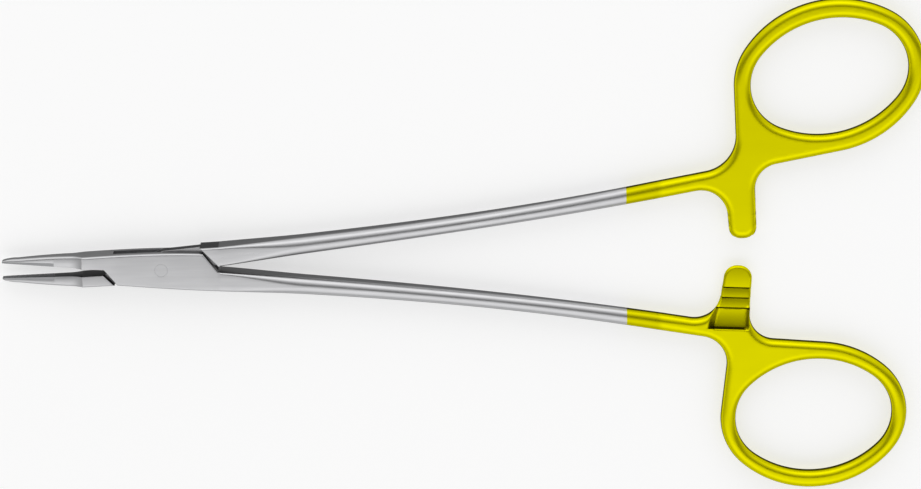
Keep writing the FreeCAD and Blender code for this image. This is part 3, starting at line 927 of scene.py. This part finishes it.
    def limit(self, points: Array, depth: Array) -> Array:
        """Highest point that the ratchet's cut leaves, with a small slant along its borders.

        Past a wall of the recess, at distance d, the limit is higher by the wall's slope times
        sqrt(d^2 + r^2) - r, which starts level and turns into a straight bank.

        Args:
            points: Plan points.
            depth: How far each is from the outline.

        Returns:
            Heights over the middle plane.
        """
        x, y = points[..., 0], points[..., 1]
        left, right = self.recess_walls(y)
        start = smooth_step((y - self.wall_start) / self.wall_fade)
        bank = np.zeros_like(x)
        for beyond, slope in zip((left - x, x - right), self.wall_slope):
            beyond = np.maximum(beyond, 0.0) * start
            bank = bank + slope * (np.sqrt(beyond ** 2 + self.wall_round ** 2) - self.wall_round)
        border = np.maximum(self.tooth_border - depth, 0.0) * (1 - smooth_step(y - self.last_tooth))
        share = smooth_step((depth - self.relief_border) / self.relief_fade)
        near = np.abs(x - self.arm_x) < 2 * self.arm_width
        return np.where(near, self.tooth_line(y, share) - border + bank, FAR)

    def cut(self, heights: Array, limit: Array) -> Array:
        """Heights held under a limit, with the edge between them eased.

        Within e of each other, the lower of the two is lowered by (e - difference)^2 / 4e.

        Args:
            heights: Heights of the uncut steel.
            limit: The limit at the same points.

        Returns:
            The heights that are left.
        """
        near = np.maximum(self.edge_ease - np.abs(heights - limit), 0.0)
        return np.minimum(heights, limit) - near ** 2 / (4 * self.edge_ease)

    def build(self) -> Body:
        """Makes the rims and the filled faces.

        Beside the teeth the rim's points lie level with its outline, so that the teeth run
        straight over it.

        Returns:
            The closed body, in the half's closed place.
        """
        line, normals = self.outline()
        level = np.stack([np.sign(normals[:, 0]), np.zeros(len(normals))], 1)
        share = smooth_step((line[:, 1] + self.arm_tip - self.lean_start) / self.lean_fade)
        share = share * smooth_step(self.lean_end - line[:, 1])
        share = share * smooth_step((np.abs(normals[:, 0]) - self.side_lean) / self.side_lean)
        share = (share * (np.abs(line[:, 0] - self.arm_x) < FAR))[:, None]
        leaning = level * share + normals * (1 - share)
        leaning /= (leaning * normals).sum(1)[:, None]
        body = Body()
        rim = self._rim(body, line, leaning, closed=False)
        hole = self._rim(body, *self.opening(), closed=True)
        seam = self._shank_faces(body, rim)
        self._web_faces(body, rim, hole, seam)
        return body

    def _raised(self, plan: Array, heights: Array) -> Array:
        """Plan points at heights over the middle plane; the male half is cut from below."""
        return raised(plan, MID + (heights if self.side is Side.FEMALE else -heights))

    def _rim(self, body: Body, line: Array, normals: Array, closed: bool) -> Rim:
        """The rounded rim along an outline, a quarter oval above and below a short flat.

        A point at angle a of the rim is depth (1 - cos a) inside the outline, and rise (1 -
        sin a) under the face.

        Args:
            body: The body to add to.
            line: The outline.
            normals: Directions towards the steel.
            closed: True for a closed outline.

        Returns:
            The rim.
        """
        depth, rise = self.rim_sizes(line[:, 0])
        inner = line + normals * depth[:, None]
        top = self.half_thickness(inner[:, 0])
        turn = np.linspace(0.0, math.pi / 2, self.rim_steps + 1)
        deep = depth[:, None] * (1 - np.cos(turn))
        high = (top - rise)[:, None] + rise[:, None] * np.sin(turn)
        deep = np.concatenate([deep[:, ::-1], deep], axis=1)
        heights = np.concatenate([-high[:, ::-1], high], axis=1)
        plan = line[:, None] + normals[:, None] * deep[..., None]
        grid = self._raised(plan, self.cut(heights, self.limit(plan, deep)))
        if closed:
            grid = np.concatenate([grid, grid[:1]])
        body.add(grid, grid_faces(len(grid), grid.shape[1], wrap=False))
        return Rim(line, inner, top, grid)

    def _shank_faces(self, body: Body, rim: Rim) -> tuple[Array, Array]:
        """The faces of the shank between its two rims, and its flat end at the lock.

        Args:
            body: The body to add to.
            rim: The outer rim.

        Returns:
            The points between the rims where the shank ends, and their heights.
        """
        count = self.shank_rows
        low, high = rim.inner[:count, None], rim.inner[::-1][:count, None]
        plan = high + (low - high) * np.linspace(0.0, 1.0, 4)[:, None]
        heights = self.half_thickness(plan[..., 0])
        heights[:, 0], heights[:, -1] = rim.top[::-1][:count], rim.top[:count]
        faces = [self._raised(plan, sign * heights) for sign in (1.0, -1.0)]
        for face in faces:
            body.add(face, grid_faces(count, face.shape[1], wrap=False))
        end = [rim.grid[-1], faces[0][0, 1:-1], rim.grid[0, ::-1], faces[1][0, -2:0:-1]]
        body.add(np.concatenate(end), [range(sum(len(part) for part in end))])
        return plan[-1, 1:-1], heights[-1, 1:-1]

    def _arm_rows(self, rim: Rim, first: int, start: int) -> tuple[Array, list[tuple[int, int]]]:
        """Rows of points over the arm, tied where an edge of a tooth or of the recess runs.

        Args:
            rim: The outer rim.
            first: The rim's point that the fill counts as its first.
            start: The number that the fill gives the first of these points.

        Returns:
            The points, and the pairs of numbers that must be joined.
        """
        points, ties, levels = [], [], self.levels()
        in_arm = np.abs(rim.line[:, 0] - self.arm_x) < self.arm_width * 1.4
        for y in levels:
            numbers = np.flatnonzero(in_arm & (np.abs(rim.line[:, 1] - y) < 1e-6))
            ends = numbers[np.argsort(rim.inner[numbers, 0])][[0, -1]]
            left, right = rim.inner[ends]
            amount = max(2, int((right[0] - left[0]) / self.mesh_step))
            points.append(left + (right - left) * np.linspace(0, 1, amount + 2)[1:-1, None])
            row = [ends[0] - first, *range(start, start + amount), ends[1] - first]
            ties += zip(row, row[1:])
            start += amount
        foot, step = self.tooth_foot, self.fine_step
        left, right = self.recess_walls(foot)
        across = np.arange(left - self.recess_margin[0], right + self.recess_margin[1], step)
        lines = [raised(across[:, None], y) for y in (foot - self.foot_lean, foot)]
        y = np.arange(self.wall_start, foot - self.foot_lean - 0.05, step) + 0.05
        left, right = self.recess_walls(y)
        for shift in self.wall_lines:
            for wall in (left - shift, right + shift):
                lines.append(raised(wall[:, None], y))
        for line in lines:
            clear = np.abs(line[:, 1, None] - levels).min(1) > 0.03
            clear &= inside(line, rim.inner) & (distance_to(line, rim.inner) > 0.05)
            numbers = np.flatnonzero(clear)
            points.append(line[numbers])
            # Neighbours are joined unless a tooth's row runs between them.
            passed = np.diff(np.searchsorted(levels, line[numbers, 1]))
            pairs = start + np.flatnonzero((np.diff(numbers) == 1) & (passed == 0))
            ties += zip(pairs, pairs + 1)
            start += len(numbers)
        return np.concatenate(points), ties

    def _web_faces(self, body: Body, rim: Rim, hole: Rim, seam: tuple[Array, Array]) -> None:
        """The faces of the web, arm and ring between the rims.

        Args:
            body: The body to add to.
            rim: The outer rim.
            hole: The finger opening's rim.
            seam: Points and heights where the shank ends.
        """
        first, last = self.shank_rows - 1, len(rim.line) - self.shank_rows + 1
        edge = np.concatenate([rim.inner[first:last], seam[0]])
        known = np.concatenate([rim.top[first:last], seam[1], hole.top])
        rows, ties = self._arm_rows(rim, first, len(known))
        left, right, high = self.fine_zone
        left, right = self.arm_x + left, self.arm_x + right
        fine = plan_grid((left, -self.arm_tip), (right, high), self.fine_step)
        grid = plan_grid(edge.min(0), edge.max(0), self.mesh_step)
        coarse = (grid[:, 0] < left - 0.1) | (grid[:, 0] > right + 0.1) | (grid[:, 1] > high)
        grid = np.concatenate([grid[coarse], fine])
        grid = grid[inside(grid, edge) & ~inside(grid, hole.inner)]
        clear = np.minimum(*(distance_to(grid, np.concatenate([loop, loop[:1]]))
                             for loop in (edge, hole.inner)))
        apart = np.abs(grid[:, None, :] - rows).max(2).min(1)
        extra = np.concatenate([rows, grid[(clear > 0.15) & (apart > 0.09)]])
        points, triangles = fill(edge, hole.inner, extra, ties)
        heights = self.half_thickness(points[:, 0])
        heights[:len(known)] = known
        for values in (self.cut(heights, self.limit(points, FAR)), -heights):
            body.add(self._raised(points, values), triangles)


# The lock


def inset_loops(plan: Array, radii: Array, half: float, lowest: float) -> Array:
    """The outline of a block at rising heights, drawn in where its upper edges are rounded.

    At height h an edge of radius r is drawn in by r - sqrt(r^2 - (h - half + r)^2), and each
    corner is where its two drawn-in sides cross.

    Args:
        plan: Corners, walked with the steel on the left.
        radii: Radius of the edge that starts at each corner.
        half: Half the block's thickness, where the last loop is.
        lowest: Height of the first loop over the middle plane.

    Returns:
        One loop of three-number points for each height.
    """
    turn = np.linspace(0.0, math.pi / 2, 9)
    rounds = [half - r + r * np.sin(turn) for r in np.unique(radii) if r > 0]
    heights = np.unique(np.round(np.concatenate([*rounds, [lowest, half]]), 5))
    heights = heights[heights >= lowest - 1e-6]
    way = np.roll(plan, -1, axis=0) - plan
    way /= np.linalg.norm(way, axis=1)[:, None]
    normal = np.stack([-way[:, 1], way[:, 0]], axis=1)
    before = np.roll(normal, 1, axis=0)
    turn = before[:, 0] * normal[:, 1] - before[:, 1] * normal[:, 0]
    above = np.clip(heights[:, None] - half + radii, 0.0, radii)
    inset = radii - np.sqrt(np.maximum(radii ** 2 - above ** 2, 0.0))
    inset_before = np.roll(inset, 1, axis=1)
    sharp = np.abs(turn) > 0.04
    safe = np.where(sharp, turn, 1.0)
    corner = np.stack([(inset_before * normal[:, 1] - inset * before[:, 1]) / safe,
                       (inset * before[:, 0] - inset_before * normal[:, 0]) / safe], axis=-1)
    mean = (before + normal) / np.linalg.norm(before + normal, axis=1)[:, None]
    gentle = mean * ((inset + inset_before) / 2)[..., None]
    moved = plan + np.where(sharp[None, :, None], corner, gentle)
    return raised(moved, heights[:, None])


@dataclass
class Box:
    """The female half's part of the lock: two cheeks with the slot between them."""

    lock: LockSizes = LockSizes()

    def long_edge(self, start: Array, end: Array) -> Array:
        """A gently bowed long edge: a cubic Bezier curve that ends level.

        Args:
            start: First point.
            end: Last point.

        Returns:
            Points along the curve.
        """
        third, rise = (end[0] - start[0]) / 3, (end[1] - start[1]) * self.lock.bow
        t = np.linspace(0.0, 1.0, 28)[:, None]
        second, next_last = start + np.array([third, rise]), end - np.array([third, 0.0])
        return ((1 - t) ** 3 * start + 3 * t * (1 - t) ** 2 * second
                + 3 * t ** 2 * (1 - t) * next_last + t ** 3 * end)

    def split(self, curve: Array, a: Array, b: Array) -> tuple[Array, int]:
        """Adds the point where a curve crosses the line through a and b.

        Args:
            curve: Points along the curve.
            a: A point of the line.
            b: Another point of the line.

        Returns:
            The curve with the added point, and that point's number.
        """
        way = b - a
        side = (curve[:, 0] - a[0]) * way[1] - (curve[:, 1] - a[1]) * way[0]
        index = int(np.flatnonzero(np.diff(np.sign(side)) != 0)[0])
        share = side[index] / (side[index] - side[index + 1])
        point = curve[index] + share * (curve[index + 1] - curve[index])
        return np.insert(curve, index + 1, point, axis=0), index + 1

    def plan(self) -> tuple[Array, Array, Array, Array]:
        """The plan outline, its edge radii, and where the slot opens through its two sides.

        Returns:
            Corners walked with the steel on the left, radii, and the numbers of the corners
            along the slot's lower and upper opening.
        """
        s = self.lock
        grip, parting = s.parting_play - s.parting_drop, -s.parting_play
        front_corner, rear_corner = np.array([s.front_top, grip]), np.array([s.rear_foot, parting])
        lower = self.long_edge(np.array([s.front_foot, -s.lower_width]),
                               np.array([s.rear, parting - s.root_width]))
        upper = self.long_edge(np.array([s.front, grip + s.female_depth]),
                               np.array([s.rear_top, s.upper_width]))[::-1]
        lower, rear_cut = self.split(lower, rear_corner, np.array([s.slot_rear, -s.root_width]))
        upper, front_cut = self.split(upper, front_corner, np.array([s.slot_front, s.upper_width]))
        parts = [([[s.front, grip]], s.small_edge), ([front_corner], s.chamfer),
                 (lower, s.edge_radius), ([[s.rear, parting]], s.small_edge),
                 ([rear_corner], s.chamfer), (upper, s.edge_radius)]
        radii = np.concatenate([np.full(len(points), radius) for points, radius in parts])
        rear_low, rear_high = 2 + rear_cut, 3 + len(lower)
        radii[[1 + len(lower), -1]] = 0.0
        plan = np.concatenate([points for points, _ in parts])
        return (plan, radii, np.arange(1, rear_low + 1),
                np.arange(rear_high, rear_high + 1 + front_cut + 1))

    def build(self) -> Body:
        """Makes the cheeks, the solid ends and the slot with the bore through the cheeks.

        Returns:
            The closed body.
        """
        s = self.lock
        half = s.thickness / 2
        gap = half - s.cheek
        plan, radii, low, high = self.plan()
        count = len(plan)
        loops = inset_loops(plan, radii, half, gap)
        ring = loops[0]
        body = Body()
        body.add_both(loops, grid_faces(len(loops), count, wrap=True))
        solid = ~np.isin(np.arange(count), np.concatenate([low[:-1], high[:-1]]))
        band = np.stack([ring * FLIP, ring]) + LIFT
        body.add(band, grid_faces(2, count, wrap=True)[solid])
        for pair in ([low[-1], high[0]], [high[-1], low[0]]):
            body.add(band[:, pair], grid_faces(2, 2, wrap=False))
        bore = s.bore * polar(np.linspace(0.0, 2 * math.pi, 72, endpoint=False))
        for face, height in ((loops[-1], half), (ring[np.concatenate([low, high])], gap)):
            points, triangles = fill(face[:, :2], bore)
            body.add_both(raised(points, height), triangles)
        walls = np.stack([raised(bore, gap), raised(bore, half)])
        body.add_both(walls, grid_faces(2, len(bore), wrap=True))
        return body


@dataclass
class Tongue:
    """The male half's part of the lock: the tongue, and the shoulders that stop on the box."""

    lock: LockSizes = LockSizes()
    thin: float = 0.03
    tongue_edge: float = 0.05

    def build(self) -> Body:
        """Makes the root of the lower jaw, the root of the upper shank and the tongue.

        Returns:
            The three closed bodies in one.
        """
        s, thin = self.lock, self.thin
        grip, parting = -s.parting_drop - s.parting_play, s.parting_play
        bottom, top, half = grip - s.male_depth, parting + s.root_width, s.thickness / 2
        front = (np.array([s.front_top - s.shoulder_play, -s.parting_drop]),
                 np.array([s.front_foot - s.shoulder_play, -s.lower_width]))
        rear = (np.array([s.rear_foot + s.shoulder_play, 0.0]),
                np.array([s.rear_top + s.shoulder_play, s.upper_width]))
        jaw_root = [[s.front, bottom], on_line(*front, bottom - parting), on_line(*front, grip),
                    [s.front, grip]]
        shank_root = [on_line(*rear, parting), [s.rear, parting], [s.rear, top],
                      on_line(*rear, top)]
        tongue = [[s.front + 3, grip - thin], [s.front + 3, bottom + thin],
                  [s.front_foot - 0.6, bottom + thin], [s.front_foot + 1.0, bottom - 0.12],
                  [-s.tongue_crossing, parting - s.lower_width],
                  [s.tongue_reach, parting], [s.rear - 0.2, parting + thin],
                  [s.rear - 0.2, top - thin], [s.rear_top + 0.4, top - thin],
                  [s.tongue_crossing, s.upper_width - parting], [-s.tongue_reach, grip]]
        body = Body()
        for plan, radii, height in (
                (jaw_root, [s.edge_radius, s.chamfer, s.small_edge, 0.0], half),
                (shank_root, [s.small_edge, 0.0, s.edge_radius, s.chamfer], half),
                (tongue, [self.tongue_edge] * len(tongue), half - s.cheek - s.tongue_play)):
            loops = inset_loops(np.array(plan), np.array(radii), height, 0.0)
            body.add_tube(np.concatenate([loops[::-1] * FLIP, loops]) + LIFT)
        return body


# Jaws and inserts


@dataclass
class Jaw:
    """One jaw with the hollow step that brings it up to the lock, drawn on +Y."""

    drop: float
    root_depth: float
    lock: LockSizes = LockSizes()
    middle_power: float = 1.4
    nose_depth: float = 1.0
    nose_length: float = 3.0
    nose_powers: tuple[float, float] = (1.6, 0.8)
    tip_depth: float = 0.32
    root_thickness: float = 3.5
    tip_thickness: float = 1.7
    tip_round: float = 0.8
    tip_thinning: float = 0.22
    edge_radius: float = 0.5
    edge_share: float = 0.45
    grip_edge: float = 0.05
    step_length: float = 2.6
    step_power: float = 2.3
    tip_play: float = 0.02
    insert_length: float = 10.1
    insert_depth: float = 0.6
    insert_tip: float = 0.24
    insert_gap: float = 0.012
    insert_rows: tuple[int, int] = (190, 57)
    groove_pitch: float = 0.7
    groove_depth: float = 0.11
    groove_slope: float = 0.6
    groove_border: float = 0.06

    def grip(self, x: Array) -> Array:
        """Height of the grip face: the tips meet first and the rest is relieved a little."""
        share = way_to(x, -self.lock.jaw_reach, self.lock.front)
        return self.drop * share + self.tip_play + (self.lock.parting_play - self.tip_play) * share

    def depth(self, x: Array) -> Array:
        """Depth of the jaw: a power curve down to the nose, then (1 - t^1.6)^0.8 to the tip.

        Args:
            x: Places along the jaw.

        Returns:
            The depth at each place.
        """
        nose = -self.lock.jaw_reach + self.nose_length
        share = way_to(x, self.lock.front, nose)
        body = self.root_depth + (self.nose_depth - self.root_depth) * share ** self.middle_power
        past = way_to(x, nose, -self.lock.jaw_reach)
        blunt, round_off = self.nose_powers
        fall = np.maximum(1.0 - past ** blunt, 0.0) ** round_off
        return np.where(past > 0, self.tip_depth + (self.nose_depth - self.tip_depth) * fall, body)

    def half_thickness(self, x: Array) -> Array:
        """Half the jaw's thickness without the step: it falls evenly, and thins at the tip."""
        tip = -self.lock.jaw_reach
        share = way_to(x, self.lock.front, tip)
        plain = (self.root_thickness + (self.tip_thickness - self.root_thickness) * share) / 2
        return plain * (1.0 - self.tip_thinning * way_to(x, tip + self.tip_round, tip) ** 2)

    def insert_back(self, x: Array) -> Array:
        """Thickness of the carbide behind the grip face."""
        share = way_to(x, -self.lock.jaw_reach, -self.lock.jaw_reach + self.insert_length)
        return self.insert_tip + (self.insert_depth - self.insert_tip) * share

    def build(self) -> Body:
        """Makes the steel of the jaw from box sections whose outer edges are quarter circles.

        Before the lock a power of the way along the hollow step blends the thickness up.

        Returns:
            The closed body.
        """
        s = self.lock
        tip, front = -s.jaw_reach, s.front - self.step_length
        seat = tip + self.insert_length
        nose = tip + self.nose_length * (1 - np.cos(np.linspace(0, math.pi / 2, 14)))
        x = np.concatenate([nose, np.linspace(nose[-1], seat, 30)[1:], [seat + 0.004],
                            np.linspace(seat, front, 12)[1:], np.linspace(front, s.front, 20)[1:]])
        grip, depth, step = self.grip(x), self.depth(x), way_to(x, front, s.front)
        near = grip + np.where(x <= seat + 0.001, self.insert_back(x) + self.insert_gap, 0.0)
        half = self.half_thickness(x)
        half = half + (s.thickness / 2 - half) * step ** self.step_power
        radius = np.minimum(self.edge_radius, depth * self.edge_share)
        radius = radius + (s.edge_radius - radius) * smooth_step(step)
        x, near, far, half, radius = (v[:, None] for v in (x, near, grip + depth, half, radius))
        turn = np.linspace(math.pi / 2, 0.0, 8)[None]
        top_y, top_z = far - radius + radius * np.cos(turn), half - radius + radius * np.sin(turn)
        edge_y = near + self.grip_edge * (1 - np.sin(turn[:, ::-2]))
        edge_z = half - self.grip_edge * (1 - np.cos(turn[:, ::-2]))
        y = np.concatenate([edge_y[:, ::-1], top_y, top_y[:, ::-1], edge_y], axis=1)
        z = np.concatenate([edge_z[:, ::-1], top_z, -top_z[:, ::-1], -edge_z], axis=1)
        body = Body()
        body.add_tube(np.stack([np.broadcast_to(x, y.shape), y, MID + z], axis=2))
        return body

    def build_insert(self) -> Body:
        """Makes the carbide insert, with two crossed rows of V grooves in its grip face.

        A groove's depth at a point is its full depth less its slope times the distance to its
        middle, and each point takes the deeper of the two rows.

        Returns:
            The closed body.
        """
        tip = -self.lock.jaw_reach
        x = np.linspace(tip, tip + self.insert_length, self.insert_rows[0])[:, None]
        across = np.linspace(-1.0, 1.0, self.insert_rows[1])[None]
        z, grip = self.half_thickness(x) * across, self.grip(x)
        rows = [(x + sign * z) / (math.sqrt(2) * self.groove_pitch) for sign in (1, -1)]
        cuts = [np.maximum(self.groove_depth - self.groove_slope * self.groove_pitch
                           * np.abs(row - np.round(row)), 0.0) for row in rows]
        face = grip + np.maximum(*cuts) * np.clip((1 - np.abs(across)) / self.groove_border, 0, 1)
        x, back = (np.broadcast_to(v, z.shape) for v in (x, grip + self.insert_back(x)))
        front, rear = (np.stack([x, y, MID + z], axis=2) for y in (face, back))
        body = Body()
        body.add_tube(np.concatenate([front, rear[:, ::-1][:, ::8]], axis=1))
        return body


# The studio


@dataclass
class Studio:
    """A pale floor, a soft lamp, a world like a studio's and the camera."""

    floor_size: float = 1.6
    floor_level: float = -0.00003
    floor_colour: Colour = grey(0.48)
    floor_glow: float = 0.58
    lamp_place: tuple[float, float, float] = (0.06, 1.0, 0.62)
    lamp_aim: tuple[float, float, float] = (0.06, 0.0, 0.0)
    lamp_size: tuple[float, float] = (1.2, 0.7)
    lamp_power: float = 0.9
    # The sky's level at angles in degrees from straight up, towards -Y and +Y.
    sky: tuple[tuple[float, float], ...] = (
        (-90.0, 0.34), (-80.0, 0.56), (-68.0, 0.90), (-50.0, 1.20), (-32.0, 1.32), (-22.0, 1.38),
        (-15.0, 1.28), (-10.0, 0.70), (-6.0, 0.12), (0.0, 0.05), (6.0, 0.10), (15.0, 0.42),
        (30.0, 0.86), (46.0, 1.18), (62.0, 1.30), (78.0, 1.10), (90.0, 0.95))
    side_fall: float = 0.6
    # The camera: its scale is in pixels of the picture to a millimetre, its aim in metres.
    scale: float = 5.15
    tilt: float = 15.0
    roll: float = -0.9
    distance: float = 0.86
    aim: tuple[float, float, float] = (0.05812, 0.00362, 0.0026)
    picture_width: float = 921.0
    sensor: float = 36.0
    clip: tuple[float, float] = (0.01, 10.0)

    def floor(self) -> None:
        """A plain pale floor, lifted a little for the camera and in the metal."""
        n = Nodes(bpy.data.materials.new("pale_floor"))
        path = n.add("ShaderNodeLightPath").outputs
        seen = n.maths("MAXIMUM", path["Is Camera Ray"], path["Is Glossy Ray"])
        seen = n.maths("MAXIMUM", seen, path["Is Transmission Ray"])
        glow = n.add("ShaderNodeEmission", Color=grey(1.0),
                     Strength=n.maths("MULTIPLY", seen, self.floor_glow))
        both = n.add("ShaderNodeAddShader")
        n.put(both.inputs[0], n.add("ShaderNodeBsdfDiffuse", Color=self.floor_colour).outputs[0])
        n.put(both.inputs[1], glow.outputs[0])
        n.add("ShaderNodeOutputMaterial", Surface=both.outputs[0])
        half = self.floor_size / 2
        corners = [(half * x, half * y, self.floor_level)
                   for x, y in ((-1, -1), (1, -1), (1, 1), (-1, 1))]
        mesh = bpy.data.meshes.new("floor")
        mesh.from_pydata(corners, [], [[0, 1, 2, 3]])
        mesh.materials.append(n.owner)
        floor = bpy.data.objects.new("floor", mesh)
        bpy.context.scene.collection.objects.link(floor)

    def light(self) -> None:
        """A soft area lamp, and a world that is dark overhead and bright to both sides.

        The sky's level follows the angle from straight up towards Y, and falls off by the
        square of X.
        """
        data = bpy.data.lights.new("key", "AREA")
        data.shape = "RECTANGLE"
        data.size, data.size_y = self.lamp_size
        data.energy = self.lamp_power
        lamp = bpy.data.objects.new("key", data)
        lamp.location = self.lamp_place
        way = Vector(self.lamp_aim) - Vector(self.lamp_place)
        lamp.rotation_euler = way.to_track_quat("-Z", "Y").to_euler()
        bpy.context.scene.collection.objects.link(lamp)
        world = bpy.data.worlds.new("studio")
        bpy.context.scene.world = world
        n = Nodes(world)
        place = n.add("ShaderNodeTexCoord").outputs["Generated"]
        x, y, z = n.add("ShaderNodeSeparateXYZ", Vector=place).outputs
        share = n.maths("MULTIPLY_ADD", n.maths("ARCTAN2", y, z), 1.0 / math.pi, 0.5)
        ramp = n.add("ShaderNodeValToRGB", Fac=share)
        stops = ramp.color_ramp.elements
        for index, (degrees, level) in enumerate(self.sky):
            stop = stops[index] if index < 2 else stops.new(degrees / 180.0 + 0.5)
            stop.position = degrees / 180.0 + 0.5
            stop.color = grey(level)
        level = n.maths("MULTIPLY_ADD", n.maths("MULTIPLY", x, x), -self.side_fall, 1.0)
        back = n.add("ShaderNodeBackground", Strength=level, Color=ramp.outputs["Color"])
        n.add("ShaderNodeOutputWorld", Surface=back.outputs[0])

    def camera(self) -> None:
        """The photograph's view: from above, leaning a little towards +Y, with a long lens."""
        data = bpy.data.cameras.new("camera")
        data.sensor_width = self.sensor
        data.lens = self.sensor * self.distance / (self.picture_width / self.scale * MM)
        data.clip_start, data.clip_end = self.clip
        camera = bpy.data.objects.new("camera", data)
        tilt = math.radians(self.tilt)
        back = Vector((0.0, math.sin(tilt), math.cos(tilt)))
        up = Vector((0.0, math.cos(tilt), -math.sin(tilt)))
        up = Matrix.Rotation(math.radians(self.roll), 3, back) @ up
        turn = Matrix((up.cross(back), up, back)).transposed().to_4x4()
        camera.matrix_world = Matrix.Translation(Vector(self.aim) + back * self.distance) @ turn
        bpy.context.scene.collection.objects.link(camera)
        bpy.context.scene.camera = camera

    def build(self) -> None:
        """Sets up the floor, the lamp, the camera and the colour view."""
        self.floor()
        self.light()
        self.camera()
        bpy.context.scene.view_settings.view_transform = "Standard"


# The whole instrument


@dataclass
class NeedleHolder:
    """Both halves of the instrument, the carbide inserts and the pin."""

    opening: float = 5.4
    lock: LockSizes = LockSizes()
    male: Handle = field(default_factory=lambda: Handle(
        Side.MALE, ring=(131.12, 29.9, 11.9), opening_size=(15.35, 11.22), wire=(3.25, 3.73),
        shank_end_y=9.35, root_slope=0.058, end_slope=0.137, neck_radius=7.0, neck_lean=-0.5,
        web_slope=8.2, arm_x=113.05, arm_width=5.3, arm_lean=2.5, arm_rear_lean=0.8, arm_tip=1.15,
        first_tooth=-0.6, recess=(-4.2, 3.2, 0.1, 0.0), tip_radius=2.3, lean_start=1.2))
    female: Handle = field(default_factory=lambda: Handle(
        Side.FEMALE, ring=(128.2, 25.95, -7.0), opening_size=(15.31, 11.4), wire=(2.94, 3.4),
        shank_end_y=7.74, root_slope=0.028, end_slope=0.122, neck_radius=5.5, neck_lean=4.0,
        web_slope=2.0, arm_x=112.0, arm_width=5.6, arm_lean=6.0, arm_rear_lean=-0.9, arm_tip=3.7,
        first_tooth=0.6, recess=(-2.2, 2.15, 0.2, 0.04), tip_radius=2.52, lean_start=2.52))

    def build(self) -> None:
        """Builds every piece, dresses the carried-over pin and hides the CAD parts that the pieces
        replace.
        """
        made = {finish: finish.make() for finish in (STEEL, PAINTED_SHADE_STEEL, PLATED, CARBIDE)}
        upper = Jaw(-self.lock.parting_drop, self.lock.female_depth)
        lower = Jaw(self.lock.parting_drop, self.lock.male_depth)
        rows: tuple[tuple[str, Body, Side, bool, Finish, Optional[str]], ...] = (
            ("box_cheeks", Box().build(), Side.FEMALE, False, STEEL, "female_half"),
            ("upper_jaw", upper.build(), Side.FEMALE, False, STEEL, None),
            ("lower_shank_and_ring", self.female.build(), Side.FEMALE, True, PLATED, None),
            ("tongue_and_shoulders", Tongue().build(), Side.MALE, False, PAINTED_SHADE_STEEL, "male_half"),
            ("lower_jaw", lower.build(), Side.MALE, True, PAINTED_SHADE_STEEL, None),
            ("upper_shank_and_ring", self.male.build(), Side.MALE, False, PLATED, None),
            ("upper_carbide", upper.build_insert(), Side.FEMALE, False, CARBIDE, "upper_insert"),
            ("lower_carbide", lower.build_insert(), Side.MALE, True, CARBIDE, "lower_insert"))
        for name, body, side, mirror, finish, node in rows:
            piece = body.make(name, side, mirror, self.opening, finish, made[finish])
            if node is not None:
                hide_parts(node)
        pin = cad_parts["joint_pin"]
        pin.data.materials.clear()
        pin.data.materials.append(PIN_STEEL.make())


def main() -> None:
    NeedleHolder().build()
    Studio().build()


if __name__ == "__main__":
    main()
